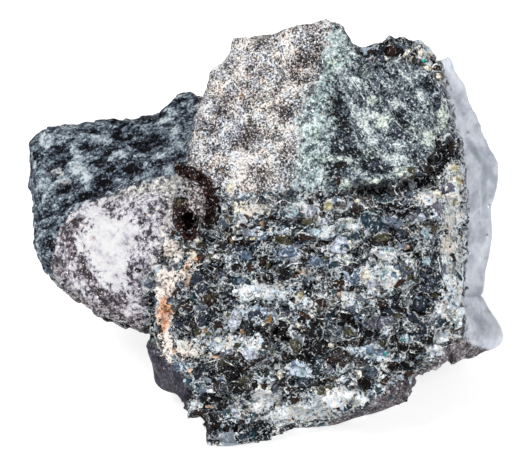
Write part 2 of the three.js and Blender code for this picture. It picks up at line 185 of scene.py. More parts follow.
# Soft-edged marks on the show side, as (right, down, reach along, reach across, turn clockwise in degrees)
MARKS = {
    "dark": [
        (214, 146, 11, 8, 0), (241, 136, 14, 9, 20), (252, 126, 8, 8, 0), (306, 60, 18, 8, 0),
        (300, 78, 14, 5, 0), (316, 48, 9, 6, 0), (283, 112, 12, 6, 30), (222, 172, 8, 6, 0),
        (126, 134, 13, 7, 10), (141, 143, 9, 7, 30), (118, 172, 26, 6, -8), (101, 163, 9, 5, 0),
        (102, 184, 12, 6, -10), (60, 148, 9, 4, 20), (82, 146, 7, 4, 20), (150, 117, 14, 4, -20),
        (62, 190, 13, 4, -10), (84, 196, 9, 4, 0), (198, 99, 6, 4, 0), (88, 130, 10, 3, 10),
        (120, 121, 9, 3, 0), (48, 245, 6, 11, 0), (52, 264, 5, 9, 0), (62, 209, 16, 3, -25),
        (155, 140, 16, 6, 0), (108, 319, 9, 4, 25), (126, 326, 9, 3, 20), (151, 304, 6, 5, 0),
        (64, 290, 3, 7, -40), (82, 301, 10, 3, 30), (99, 309, 8, 3, 25), (336, 112, 9, 18, 0),
        (344, 128, 7, 10, 0), (336, 146, 7, 9, 0), (340, 165, 8, 5, 0), (337, 180, 4, 8, 0),
        (399, 112, 7, 5, 20), (403, 122, 5, 5, 0), (396, 133, 9, 5, 20), (426, 85, 10, 7, 0),
        (437, 104, 3, 7, 0), (375, 165, 15, 7, 10), (352, 152, 12, 5, 10), (330, 175, 8, 5, 0),
        (228, 376, 26, 13, 25), (214, 398, 14, 6, 0), (318, 340, 9, 13, 0), (308, 352, 12, 9, 0),
        (200, 272, 20, 9, -20), (205, 298, 15, 9, 0), (258, 264, 22, 9, 0), (285, 274, 11, 8, 0),
        (423, 290, 13, 20, 0), (402, 212, 15, 6, -15), (402, 230, 14, 9, 0), (380, 238, 13, 7, 0),
        (428, 336, 8, 9, 0), (412, 350, 12, 6, 0), (182, 322, 14, 8, 20), (240, 242, 22, 4, 0),
        (285, 240, 22, 4, 0), (366, 330, 12, 5, 35), (395, 312, 12, 5, 10), (345, 318, 14, 4, 10),
        (366, 382, 7, 9, 0), (300, 384, 9, 7, 0), (404, 366, 16, 5, -10), (372, 52, 14, 6, 0),
        # The last two marks below darken the foot at the lower left: painted shade where it faces down
        (398, 50, 12, 8, 0), (214, 428, 13, 13, 0), (240, 434, 15, 8, 0),
    ],
    "pale": [
        (240, 157, 22, 7, 10), (225, 125, 13, 5, 30), (268, 80, 9, 6, 0), (246, 43, 12, 5, 0),
        (243, 75, 4, 6, 0), (290, 92, 12, 5, -10), (238, 175, 8, 7, 0), (230, 188, 4, 9, 0),
        (357, 81, 10, 4, 20), (362, 122, 24, 5, 57), (371, 115, 7, 5, 0), (383, 122, 8, 7, 0),
        (372, 100, 5, 5, 0), (373, 140, 7, 4, 30), (396, 105, 7, 5, 0), (401, 172, 9, 7, 0),
        (371, 181, 9, 3, 0), (345, 183, 8, 4, 0), (430, 136, 10, 8, 0), (443, 116, 5, 13, 0),
        (408, 78, 10, 3, 45), (420, 92, 3, 10, -20), (340, 159, 12, 3, 0), (400, 143, 7, 4, 0),
        (395, 160, 12, 6, 0), (270, 292, 28, 8, 5), (296, 302, 14, 7, 0), (245, 293, 9, 8, 0),
        (348, 224, 17, 7, 0), (385, 254, 21, 6, 0), (381, 279, 20, 12, 0), (347, 298, 9, 9, 0),
        (372, 352, 15, 9, 0), (300, 372, 11, 11, 0), (268, 395, 13, 10, 0), (300, 412, 24, 8, -8),
        (336, 398, 18, 7, -20), (362, 402, 9, 3, -20), (441, 338, 15, 5, 0), (436, 350, 8, 6, 0),
        (442, 310, 13, 9, 0), (236, 412, 6, 9, 0), (300, 208, 15, 7, 0), (252, 208, 17, 8, 0),
        (325, 232, 18, 6, -10), (428, 198, 11, 9, 0), (455, 210, 6, 42, 0), (449, 262, 7, 32, 0),
        (462, 300, 6, 34, 0), (85, 182, 6, 10, 0), (76, 150, 6, 8, 0), (90, 138, 11, 4, 0),
        (45, 140, 6, 7, 0), (78, 168, 9, 8, 0), (166, 118, 8, 4, -30), (173, 132, 7, 7, 0),
        (160, 156, 7, 4, 0), (120, 155, 7, 3, 0), (66, 126, 11, 3, 0), (46, 185, 8, 7, 0),
        (190, 348, 16, 8, 15), (215, 345, 10, 6, 0), (250, 345, 14, 9, 0), (232, 342, 7, 5, 0),
        (421, 50, 9, 7, 40), (434, 64, 5, 8, -20),
    ],
    "green": [
        (382, 122, 8, 7, 0), (373, 100, 6, 5, 0), (318, 136, 6, 7, 0), (322, 160, 7, 6, 0),
        (365, 70, 7, 7, 0), (401, 172, 9, 7, 0), (432, 140, 9, 8, 0), (443, 118, 5, 13, 0),
        (345, 185, 7, 5, 0), (340, 160, 12, 3, 0), (370, 152, 9, 5, 0), (372, 182, 8, 3, 0),
        (412, 130, 9, 7, 0), (356, 166, 6, 5, 0), (335, 62, 7, 6, 0), (308, 224, 10, 5, 0),
    ],
    "warm": [
        (300, 62, 28, 14, 0), (285, 88, 30, 8, 0), (262, 100, 14, 8, 0), (240, 95, 4, 7, 0),
        (200, 165, 14, 8, 0), (325, 85, 6, 5, 0), (320, 32, 8, 4, 0), (255, 206, 17, 8, 0),
        (234, 235, 9, 5, 0), (200, 258, 9, 7, 0), (300, 272, 11, 4, 10), (190, 352, 16, 10, 0),
        (217, 356, 11, 4, 0), (56, 172, 9, 6, 0), (64, 183, 9, 3, -15), (448, 236, 5, 20, 0),
    ],
    "brown": [
        (72, 226, 12, 7, -20), (71, 246, 4, 11, -20), (81, 265, 4, 8, -20), (90, 280, 6, 12, -40),
        (101, 293, 10, 5, 40), (116, 302, 13, 6, 15), (60, 268, 4, 12, 0), (66, 235, 6, 6, 0),
        (112, 311, 14, 5, 25), (138, 318, 9, 5, 0), (93, 238, 3, 3, 0),
    ],
    "blue": [
        (286, 253, 14, 7, 0), (320, 260, 13, 9, 0), (246, 253, 9, 7, 0), (215, 347, 9, 6, 0),
        (372, 352, 15, 9, 0), (300, 372, 11, 11, 0), (425, 290, 14, 16, 0), (260, 313, 14, 11, 0),
        (352, 276, 8, 10, 0), (225, 140, 15, 7, 0), (255, 68, 9, 7, 0), (214, 74, 6, 6, 0),
        (290, 168, 15, 9, 0), (474, 150, 3, 14, -30), (484, 184, 3, 24, 0), (177, 367, 5, 5, 0),
    ],
}
MARK_DEPTH = (24.0, 32.0)  # marks fade out between these depths behind the show face, in millimetres
MARK_FADE = (0.55, 1.5)  # shares of a mark's reach between which it fades out

# Where the outline in the front view is drawn about, as (right, down, move right, move down, reach)
PULLS = [
    (488, 134, -8, 0, 20), (472, 100, -5, 0, 18), (460, 74, -4, 0, 12), (499, 326, 7, 0, 20),
    (462, 368, 0, -9, 16), (482, 360, 0, -6, 12), (422, 384, -6, -6, 11), (176, 404, 8, -4, 16),
    (196, 418, 0, -4, 12), (138, 112, 0, 8, 26), (92, 121, 0, 6, 22), (34, 143, -4, -4, 13),
    (34, 236, -4, 0, 20), (30, 204, 4, 0, 12), (88, 305, -3, 4, 22), (142, 334, 3, 4, 10),
    (213, 70, -4, -3, 13), (236, 46, -5, -5, 10), (272, 31, 0, 4, 16), (338, 28, 3, -3, 12),
    (367, 44, 0, 4, 10), (390, 47, 0, -9, 9), (417, 47, 0, -8, 8), (434, 53, -3, 2, 6),
]

# Single grains and crystals set in the show face, by kind: its colour, and every grain's
# (right, down, half length, half width, turn clockwise in degrees) in the front view
SINGLE_GRAINS = {
    "black": ((14, 11, 12), [
        (266, 230, 9, 3.5, -15), (230, 230, 6, 3, 10), (238, 267, 7, 6, 0), (283, 273, 8, 7, 0),
        (393, 209, 9, 6, 10), (350, 288, 4, 4, 0), (228, 372, 13, 7, 30), (237, 389, 8, 6, 20),
        (212, 398, 10, 4, 0), (313, 332, 8, 9, 0), (320, 347, 7, 9, 10), (308, 352, 6, 7, 0),
        (339, 323, 8, 3, 15), (345, 316, 8, 3, 10), (370, 334, 8, 3.5, 35), (343, 344, 6, 5, 0),
        (428, 335, 7, 9, 0), (416, 348, 6, 5, 0), (403, 345, 4, 5, 0), (417, 362, 4, 4, 0),
        (367, 382, 5, 7, 0), (370, 191, 11, 3.5, 0), (387, 191, 12, 4, 0), (402, 191, 6, 4, 10),
        (437, 142, 5, 8, 15), (436, 156, 5, 6, 0), (437, 171, 4, 9, 35), (421, 180, 7, 6, 0),
        (340, 165, 8, 4, 0), (284, 331, 11, 11, 0), (278, 340, 6, 5, 0), (400, 53, 6, 6, 0),
        (414, 54, 5, 6, 0), (434, 65, 3, 5, 0), (108, 318, 7, 4, 20), (126, 325, 7, 3, 15),
        (151, 302, 5, 4, 0), (203, 225, 3, 4, 0), (255, 384, 4, 5, 0), (292, 300, 4, 3, 0),
        (322, 380, 4, 4, 0), (302, 320, 5, 4, 0),
    ]),
    "brown": ((40, 27, 23), [
        (251, 268, 6, 5, 0), (262, 262, 4, 7, -30), (243, 226, 5, 2.5, 15), (305, 238, 10, 4, 15),
        (210, 299, 6, 8, 10), (177, 294, 6, 6, 0), (187, 305, 7, 6, 0), (218, 327, 5, 6, 0),
        (325, 243, 5, 3, 0), (322, 303, 7, 6, 0), (294, 400, 5, 5, 0), (338, 283, 8, 4, 0),
        (372, 52, 6, 4, 0), (431, 60, 4, 6, -20), (391, 52, 8, 6, 0), (437, 69, 4, 5, 0),
        (338, 181, 3, 7, 10), (426, 170, 7, 4, 0), (446, 232, 5, 3, 0), (453, 256, 3, 8, -15),
        (451, 150, 3, 9, 0), (393, 364, 6, 3, 10), (385, 380, 4, 6, 20), (231, 355, 5, 5, 0),
        (200, 411, 7, 3, 0), (380, 305, 8, 2.6, 0), (380, 300, 6, 2.4, 0), (303, 260, 5, 3, 0),
        (232, 236, 3, 3, 0), (138, 270, 4, 3, 10), (265, 385, 4, 5, 0), (330, 360, 7, 5, 0),
    ]),
    "maroon": ((26, 9, 9), [
        (179, 168, 5, 4, 0), (188, 171, 5, 4, 20), (197, 175, 5, 4, 30), (205, 182, 5, 4, 45),
        (210, 191, 5, 4, 80), (211, 201, 6, 4, 90), (211, 211, 5, 4, 90), (209, 221, 5, 3.5, 100),
        (181, 210, 5, 5, 50), (186, 222, 6, 5, 50), (190, 233, 5, 5, 60), (196, 225, 3, 3.5, 80),
        (219, 205, 3, 4, 90), (217, 190, 3, 4, 70),
    ]),
    "slate": ((48, 54, 66), [
        (402, 233, 7, 6, 0), (424, 281, 11, 9, 10), (420, 303, 10, 9, 0), (203, 319, 6, 6, 0),
        (256, 315, 9, 7, 0), (275, 388, 5, 6, 0), (350, 384, 6, 6, 0), (305, 382, 7, 6, 0),
        (200, 277, 11, 6, -25), (223, 272, 8, 5, -10), (396, 133, 8, 4, 20), (437, 104, 3, 6, 0),
        (381, 59, 5, 4, 0), (455, 140, 3, 7, 0), (236, 250, 8, 5, 10), (375, 165, 6, 5, 0),
        (180, 325, 7, 5, 30), (412, 318, 6, 5, 0),
    ]),
    "gunmetal": ((86, 86, 98), [
        (373, 321, 9, 8, 10), (388, 325, 9, 9, -10), (447, 188, 8, 8, 0), (436, 210, 7, 9, 0),
        (443, 270, 3, 9, 0), (410, 218, 5, 4, 0), (330, 371, 6, 4, -20),
    ]),
    "teal": ((32, 52, 64), [
        (373, 222, 12, 12, 0), (257, 247, 5, 4, 0), (345, 408, 8, 4.5, -10), (310, 427, 7, 5, 0),
        (458, 278, 4, 6, 0), (190, 382, 5, 4, 0), (336, 265, 5, 4, 0), (364, 291, 4, 3.5, 0),
    ]),
    "blue": ((84, 99, 118), [
        (287, 253, 10, 6, 0), (246, 255, 6, 8, 30), (318, 262, 9, 5, 20), (394, 275, 4, 4, 0),
        (177, 367, 5, 5, 0), (240, 281, 5, 4, 0), (262, 238, 6, 2.4, -15), (352, 276, 6, 9, -20),
        (295, 362, 5, 5, 0), (380, 352, 6, 5, 0), (369, 350, 5, 6, 30),
    ]),
    "ice": ((138, 158, 166), [
        (369, 213, 6, 3, 0), (425, 262, 8, 4, -20), (384, 275, 4, 8, 10), (316, 233, 8, 4, 10),
        (292, 212, 6, 6, 0), (187, 381, 4, 3, 0), (406, 338, 3, 5, 0), (402, 337, 2.5, 3, 0),
        (303, 372, 6, 6, 0), (424, 235, 6, 7, 0), (387, 250, 7, 3.5, 0), (345, 226, 6, 4, 0),
    ]),
    "lilac": ((160, 166, 178), [
        (311, 212, 6, 7, 20), (340, 247, 11, 9, 0), (255, 230, 6, 2.5, -25), (367, 232, 3.5, 5, 0),
        (234, 320, 7, 11, 15), (250, 353, 9, 7, 10), (422, 217, 5, 5, 0), (413, 185, 5, 4.5, 20),
        (400, 377, 4, 4, 0), (236, 411, 5, 6, 0), (372, 284, 5, 5, 0), (287, 230, 4, 3, 0),
        (325, 222, 3, 4, 0), (432, 350, 4, 5, 0),
    ]),
    "white": ((216, 220, 223), [
        (247, 291, 7, 7, 0), (235, 291, 3, 2.6, 0), (258, 294, 4, 3.5, 0), (243, 339, 2.6, 2.4, 0),
        (213, 391, 8, 2, -8), (246, 403, 6, 2, 10), (264, 398, 7, 6, 0), (256, 406, 6, 4, 0),
        (287, 390, 4, 5, 0), (284, 413, 6, 5, 0), (382, 377, 2.6, 2.6, 0), (440, 340, 9, 3, -5),
        (455, 336, 7, 2, 0), (435, 349, 5, 5, 0), (346, 394, 6, 5, 0), (364, 400, 5, 3, -15),
        (409, 262, 4, 3.5, 0), (368, 267, 3, 3, 0), (468, 134, 3, 3, 0), (488, 206, 2.2, 2.4, 0),
        (310, 404, 8, 5, -10), (328, 400, 7, 5, 0), (147, 208, 2.4, 2, 0), (455, 318, 3, 3, 0),
        (196, 340, 4, 1.8, 20), (240, 238, 8, 2, -5), (440, 312, 4, 3, 0), (448, 306, 3, 3, 0),
        (487, 236, 2, 2, 0),
    ]),
    "cream": ((196, 190, 172), [
        (407, 53, 7, 1.8, -50), (411, 58, 6, 1.6, -45), (420, 53, 5, 4, 0), (427, 56, 4, 4, 0),
        (253, 238, 4, 2.4, 0), (357, 201, 3, 2, 0), (350, 245, 3.5, 5, 0), (367, 276, 6, 5, 0),
        (436, 196, 5, 7, 20), (438, 76, 3, 3, 0), (428, 68, 5, 3, 20), (358, 374, 4, 5, 0),
        (280, 375, 3, 6, -10), (331, 345, 3, 3, 0), (230, 190, 4, 8, 0), (236, 206, 2.4, 5, 0),
        (197, 241, 3, 3, 0), (193, 256, 3, 5, 30),
    ]),
    "honey": ((158, 152, 122), [
        (452, 169, 7, 5, 0), (329, 206, 5, 5, 0), (458, 184, 3, 9, 0), (300, 294, 4, 4, 0),
        (455, 202, 4, 4, 0),
    ]),
    "amber": ((128, 98, 66), [
        (263, 224, 5, 2.6, 15), (232, 240, 3, 4, 20), (268, 322, 3.5, 7, 25), (205, 331, 3, 3, 0),
        (167, 307, 4, 4, 0), (302, 271, 7, 3, 15), (243, 331, 3, 4, 20), (187, 268, 2.6, 2.4, 0),
        (242, 96, 1.8, 3, 0), (463, 183, 1.6, 4, 0),
    ]),
    "rust": ((52, 34, 27), [
        (306, 316, 9, 3, 28), (295, 276, 4, 3, 0), (201, 258, 5, 4, 0), (410, 371, 6, 5, 0),
        (400, 283, 7, 3, -30), (173, 233, 3, 3, 0), (341, 290, 3, 2.4, 0), (160, 330, 3, 3, 0),
    ]),
    "olive": ((66, 64, 48), [
        (307, 222, 9, 4.5, -5), (268, 266, 3, 3, 0), (212, 257, 5, 4, 0), (199, 333, 6.5, 5, -10),
        (209, 335, 4, 5, 0), (295, 345, 6, 8, -15), (325, 258, 3, 3, 0), (410, 274, 3, 7, 15),
        (435, 295, 5, 4, 0), (350, 332, 7, 4.5, 20), (382, 343, 5, 4, 0), (398, 316, 7, 3, 15),
        (325, 390, 8, 4.5, -20), (455, 329, 5, 3, 0), (456, 342, 5, 2, 0), (434, 228, 3, 5, 0),
        (381, 238, 9, 5, -10), (180, 203, 3, 4, 0), (236, 345, 4, 4, 0),
    ]),
    "peach": ((176, 150, 130), [
        (340, 294, 4, 3, 0), (208, 406, 7, 2, 5), (192, 371, 5, 3, 10), (216, 357, 6, 1.8, 5),
        (176, 352, 4, 5, -30), (407, 247, 3, 3, 0), (160, 313, 4, 8, 10), (188, 282, 3, 6, 30),
    ]),
    # Painted glints: small bright teal spots where light glances off crystal faces
    "painted_glint": ((44, 150, 136), [
        (424, 61, 2.4, 2.4, 0), (402, 340, 1.8, 2, 0), (451, 187, 2.2, 1.8, 0), (385, 354, 2, 3, 0),
    ]),
}

# Pale threads on the show side, each through its (right, down) places in the front view
THREADS = [
    [(190, 269), (204, 263), (216, 269), (224, 261), (233, 253), (241, 250)],
    [(216, 269), (221, 278), (224, 286), (230, 293)],
    [(216, 269), (206, 276), (196, 281), (186, 288)],
    [(236, 221), (242, 228), (245, 237), (254, 237), (264, 236)],
    [(241, 250), (243, 259), (246, 266), (247, 276), (253, 283)],
    [(263, 246), (257, 251), (252, 258), (246, 263)],
    [(268, 252), (269, 262), (266, 270), (268, 281)],
    [(268, 283), (278, 285), (290, 286), (299, 281), (308, 275), (322, 270)],
    [(290, 240), (297, 234), (306, 227), (316, 222), (330, 222)],
    [(246, 231), (251, 224), (258, 223), (264, 226)],
    [(284, 268), (292, 264), (302, 263), (314, 259), (324, 262)],
    [(361, 224), (360, 214), (366, 208), (376, 206), (384, 208)],
    [(362, 226), (366, 237), (376, 235), (384, 227), (388, 217)],
    [(384, 205), (388, 212), (391, 218), (398, 213), (408, 208), (420, 203)],
    [(366, 239), (372, 246), (382, 250), (394, 249), (403, 242)],
    [(438, 224), (444, 235), (451, 245), (457, 238), (462, 228)],
    [(441, 242), (438, 258), (441, 276), (447, 290), (452, 300)],
    [(447, 256), (449, 270), (447, 288)],
    [(453, 196), (455, 214), (457, 236), (455, 262), (458, 290)],
    [(462, 206), (461, 228), (463, 250), (461, 276)],
    [(304, 300), (308, 309), (318, 313), (330, 312), (342, 311), (356, 313)],
    [(312, 317), (324, 319), (333, 325), (340, 332), (347, 338)],
    [(297, 306), (306, 309), (314, 315)],
    [(365, 316), (374, 312), (386, 313), (394, 319), (397, 327), (391, 335)],
    [(378, 322), (382, 331), (381, 341)],
    [(354, 319), (359, 327), (357, 337)],
    [(363, 306), (368, 299), (380, 297), (388, 300), (391, 309), (398, 315)],
    [(432, 357), (438, 351), (448, 345), (460, 342)],
    [(396, 340), (397, 351), (400, 361), (398, 372)],
    [(404, 346), (412, 341), (421, 343), (426, 350)],
    [(167, 321), (172, 328), (178, 335)],
    [(171, 317), (177, 324), (184, 331)],
    [(191, 334), (195, 341), (205, 341), (216, 337), (222, 331)],
    [(203, 364), (212, 361), (222, 359), (231, 364), (239, 371)],
    [(228, 395), (238, 397), (248, 402), (256, 408)],
    [(186, 352), (194, 347), (204, 348), (214, 344)],
    [(180, 300), (188, 297), (197, 300), (200, 308)],
    [(199, 292), (204, 287), (213, 286), (219, 292), (218, 302)],
    [(226, 268), (232, 276), (242, 276), (247, 268)],
    [(292, 246), (300, 250), (307, 254), (312, 262)],
    [(330, 246), (326, 254), (318, 256)],
    [(332, 262), (344, 266), (354, 262), (364, 266)],
    [(330, 305), (340, 301), (352, 304), (362, 309)],
    [(300, 326), (304, 336), (302, 348), (305, 360)],
    [(332, 340), (342, 337), (350, 341), (360, 350)],
    [(300, 378), (308, 374), (318, 377), (326, 384)],
    [(322, 388), (330, 384), (338, 388)],
    [(258, 392), (266, 388), (276, 392), (284, 402)],
    [(222, 222), (220, 234), (214, 244), (206, 250)],
    [(200, 214), (199, 226), (196, 236)],
    [(405, 76), (411, 86), (418, 94), (424, 104)],
    [(352, 78), (358, 90), (366, 102), (372, 114), (380, 128)],
    [(396, 64), (402, 74), (408, 82)],
    [(404, 46), (408, 53), (413, 60)],
    [(410, 44), (406, 52), (400, 60)],
]
OUTLINED_KINDS = ("black", "brown", "slate", "gunmetal", "teal", "olive")  # with pale threads round them
SMALLEST_OUTLINED = 4.0  # the least half length of such a grain, in steps of the front view
THREAD_SPACING = 2.2  # between the points of a thread, in steps of the front view
THREAD_SHAKE = 0.45  # how far those are shaken each way, in the same steps
THREAD_LIFT = 0.04  # how far they are raised along the stone's normal and to the camera, in millimetres
THREAD_REACH = (0.035, 0.105)  # the least and most half thickness of a thread, in millimetres
ARC_REACH = (1.15, 1.3)  # the least and most size of an arc round a grain, as a share of the grain's
ARC_SPAN = (0.9, 2.2)  # the least and most angle that it takes up, in radians
ARC_STEP = 0.4  # between its points, in radians
GRAIN_CLEAR = (0.9, 1.2)  # shares of a single grain's reach between which scattered grains set in
GRAIN_RING = (1.1, 1.7)  # shares of it between which the paler ring round it fades out
GRAINS_ABOVE = (1.0, 2.5)  # scattered grains set in between these heights, in millimetres
GRAIN_AROUND = 0.6  # where the stone is felt for round a single grain's place, as a share of its reach
GRAIN_STAND = 0.25  # how far a single grain's flat top stands off the stone, in millimetres
GRAIN_TOP = 0.55  # where a single grain is cut flat, as a share of its half thickness
GRAIN_SPREAD = 1.15  # single grains are thrown wider by this, as their corners fall short of their reach
HUE_GAIN = 1.96  # a multiplication by the screen grey of 188 and then by this changes little
FULL_TURN = 6.28  # in radians
CORNER_TURN = 2.4  # in radians, from one corner of a grain to the next, which spreads them evenly


# Node trees

class Field:
    """A value in a node tree, worked on with ordinary maths."""

    def __init__(self, graph, socket):
        self.graph = graph
        self.socket = socket

    def maths(self, operation, *values):
        return self.graph.node(self.graph.maths_node, {"operation": operation}, values)

    def __add__(self, other):
        return self.maths("ADD", self, other)

    def __radd__(self, other):
        return self.maths("ADD", other, self)

    def __sub__(self, other):
        return self.maths("SUBTRACT", self, other)

    def __rsub__(self, other):
        return self.maths("SUBTRACT", other, self)

    def __mul__(self, other):
        return self.maths("MULTIPLY", self, other)

    def __rmul__(self, other):
        return self.maths("MULTIPLY", other, self)

    def __pow__(self, other):
        return self.maths("POWER", self, other)

    def over(self, low, high):
        """0 below low, 1 above high, and a smooth step between."""
        inputs = {"Value": self, "From Min": low, "From Max": high}
        return self.graph.node("ShaderNodeMapRange", {"interpolation_type": "SMOOTHSTEP"}, inputs)

    def under(self, low, high):
        return 1.0 - self.over(low, high)

    def most(self, other):
        return self.maths("MAXIMUM", self, other)

    def thread(self, width):
        """1 on the line where the value passes 0.5, and 0 beyond the width."""
        return self.maths("ABSOLUTE", self - 0.5).under(0.0, width)

    def out(self, name):
        """Another output of the node that this value comes from."""
        return Field(self.graph, self.socket.node.outputs[name])


class Graph:
    """Adds nodes to a tree."""

    maths_node = "ShaderNodeMath"

    def __init__(self, tree):
        self.tree = tree
        self.tree.nodes.clear()

    def node(self, kind, settings, inputs):
        """Adds a node with its settings and inputs, and returns its first output as a field."""
        made = self.tree.nodes.new(kind)
        for key, value in settings.items():
            if key == "stops":
                self.set_stops(made.color_ramp, value)
            elif key == "blend":
                made.color_ramp.interpolation = value
            else:
                setattr(made, key, value)
        for key, value in inputs.items() if isinstance(inputs, dict) else enumerate(inputs):
            if isinstance(value, Field):
                self.tree.links.new(value.socket, made.inputs[key])
            else:
                made.inputs[key].default_value = value
        shown = [socket for socket in made.outputs if socket.enabled]
        return Field(self, shown[0]) if shown else None

    @staticmethod
    def set_stops(ramp, stops):
        while len(ramp.elements) < len(stops):
            ramp.elements.new(1.0)
        for element, (position, colour) in zip(list(ramp.elements), stops):
            element.position = position
            element.color = srgb(*colour)

    def vector(self, operation, *values):
        return self.node("ShaderNodeVectorMath", {"operation": operation}, values)


def srgb(red, green, blue):
    """A colour from its 0 to 255 screen values."""
    def linear(value):
        value /= 255
        return value / 12.92 if value <= 0.04045 else ((value + 0.055) / 1.055) ** 2.4
    return (linear(red), linear(green), linear(blue), 1.0)


class Shade(Graph):
    """Builds a material's tree. Places are in millimetres, as [right, away, up the show face]."""

    def __init__(self, name):
        self.material = bpy.data.materials.new(name)
        self.material.use_nodes = True
        super().__init__(self.material.node_tree)
        spot = self.node("ShaderNodeTexCoord", {}, {}).out("Object")
        self.place = self.vector("MULTIPLY", self.turned(spot, "X_AXIS", LEAN), (1 / MM,) * 3)

    def turned(self, place, axis, angle):
        inputs = {"Vector": place, "Angle": angle}
        return self.node("ShaderNodeVectorRotate", {"rotation_type": axis}, inputs)

    def stretch(self, place, factors, shift=0.0):
        return self.vector("MULTIPLY_ADD", place, factors, (shift,) * 3)

    def noise(self, per_mm, detail=1.0, roughness=0.5, shift=0.0, place=None):
        """Soft random value around 0.5, with no pattern along the axes of the show face."""
        spot = self.node("ShaderNodeMapping", {}, {
            "Vector": place or self.place, "Location": (shift,) * 3, "Rotation": (0.6, 0.45, 0.3),
            "Scale": (per_mm,) * 3,
        })
        inputs = {"Vector": spot, "Scale": 1.0, "Detail": detail, "Roughness": roughness}
        return self.node("ShaderNodeTexNoise", {}, inputs)

    def warped(self, per_mm, reach, place=None, shift=0.0):
        """The place pushed about by up to reach millimetres."""
        push = self.noise(per_mm, 1.0, 0.5, shift, place).out("Color")
        centred = self.vector("SUBTRACT", push, (0.5, 0.5, 0.5))
        return self.vector("MULTIPLY_ADD", centred, (2 * reach,) * 3, place or self.place)

    def cells(self, per_mm, place=None, shift=0.0, feature="F1"):
        """Broken cells, as their Distance output; their Color and Position are other outputs."""
        spot = self.stretch(place or self.place, (per_mm,) * 3, shift)
        return self.node("ShaderNodeTexVoronoi", {"feature": feature}, {"Vector": spot, "Scale": 1.0})

    def channels(self, colour):
        split = self.node("ShaderNodeSeparateColor", {}, [colour])
        return split, split.out("Green"), split.out("Blue")

    def attribute(self, name):
        return self.node("ShaderNodeAttribute", {"attribute_name": name}, {}).out("Fac")

    def ramp(self, value, *stops):
        """Blends through colours, (value, 0 to 255 screen values) each."""
        return self.node("ShaderNodeValToRGB", {"blend": "LINEAR", "stops": stops}, [value])

    def pick(self, chance, palette):
        """One of the palette's colours, (share, colour) each, chosen by a number from 0 to 1."""
        total = sum(share for share, _ in palette)
        stops = []
        reached = 0.0
        for share, colour in palette:
            stops.append((reached / total, colour))
            reached += share
        return self.node("ShaderNodeValToRGB", {"blend": "CONSTANT", "stops": stops}, [chance])

    def mix(self, factor, first, second):
        """Between two colours, each a field or its 0 to 255 screen values."""
        first, second = (value if isinstance(value, Field) else srgb(*value) for value in (first, second))
        return self.node("ShaderNodeMix", {"data_type": "RGBA"}, {"Factor": factor, 6: first, 7: second})

    def tint(self, factor, colour, multiplier):
        """The colour, multiplied channel by channel as far as the factor says."""
        return self.mix(factor, colour, self.vector("MULTIPLY", colour, multiplier))

    def between(self, factor, first, second):
        return self.node("ShaderNodeMix", {"data_type": "FLOAT"}, {"Factor": factor, 2: first, 3: second})

    def bump(self, height, depth_mm, strength=1.0):
        inputs = {"Height": height, "Distance": depth_mm * MM, "Strength": strength}
        return self.node("ShaderNodeBump", {}, inputs)

    def surface(self, colour, roughness, normal, **constants):
        inputs = {"Base Color": colour, "Roughness": roughness, "Normal": normal}
        inputs.update({key.replace("_", " "): value for key, value in constants.items()})
        return self.node("ShaderNodeBsdfPrincipled", {}, inputs)

    def join(self, factor, first, second):
        return self.node("ShaderNodeMixShader", {}, [factor, first, second])

    def finish(self, surface):
        self.node("ShaderNodeOutputMaterial", {}, {"Surface": surface})
        return self.material


# Places

def show_to_model(across, depth, rise):
    """A place on the show face in the model's frame, in millimetres."""
    cos, sin = math.cos(LEAN), math.sin(LEAN)
    return Vector((across, rise * sin + depth * cos, rise * cos - depth * sin)) + SHIFT


def show_places(points):
    """Points in the model's frame, in millimetres, as [across, depth, rise] on the show face."""
    moved = points - np.array(SHIFT)
    cos, sin = math.cos(LEAN), math.sin(LEAN)
    depth = moved[:, 1] * cos - moved[:, 2] * sin
    rise = moved[:, 1] * sin + moved[:, 2] * cos
    return np.stack([moved[:, 0], depth, rise], axis=1)


def seen_places(show):
    """Where each show-face place appears in the front view, in its steps."""
    away = 1 + show[:, 1] / VIEW_DISTANCE
    right = CENTRE[0] + show[:, 0] / away / VIEW_STEP
    down = CENTRE[1] - (show[:, 2] - VIEW_RISE) / away / VIEW_STEP
    return np.stack([right, down], axis=1)


def inside(points, outline):
    """How far each point lies inside a closed outline, in millimetres, negative outside it."""
    start = np.array(outline, float)
    end = np.roll(start, -1, axis=0)
    edge = end - start
    gap = points[:, None, :] - start
    along = np.clip((gap * edge).sum(-1) / (edge ** 2).sum(-1), 0, 1)
    nearest = np.sqrt(((gap - along[..., None] * edge) ** 2).sum(-1)).min(1)
    x, y = points[:, 0:1], points[:, 1:2]
    spans = (start[:, 1] > y) != (end[:, 1] > y)
    with np.errstate(divide="ignore", invalid="ignore"):
        reach = start[:, 0] + (y - start[:, 1]) * edge[:, 0] / edge[:, 1]
    crossed = (spans & (x < reach)).sum(1) % 2 == 1
    return np.where(crossed, nearest, -nearest) * VIEW_STEP


def step(values, low, high):
    """0 below low, 1 above high, and a smooth step between."""
    t = np.clip((values - low) / (high - low), 0, 1)
    return t * t * (3 - 2 * t)


def zone_fields(show):
    """For every zone, how far inside it each point lies, in millimetres."""
    seen = seen_places(show)
    behind = step(show[:, 1], *WANDER_DEPTH)
    seen[:, 0] += WANDER_REACH * behind * fractal(show, WANDER_SIZE, 3, 51.0)
    seen[:, 1] += WANDER_REACH * behind * fractal(show, WANDER_SIZE, 3, 57.0)
    fields = {}
    for name, (deepest, outlines) in ZONES.items():
        field = np.max([inside(seen, outline) for outline in outlines], axis=0)
        field = np.minimum(field, (deepest - show[:, 1]) * FAR_SLOPE)
        if name in ZONE_STARTS:
            field = np.minimum(field, (show[:, 1] - ZONE_STARTS[name]) * NEAR_SLOPE)
        fields[name] = field
    return fields


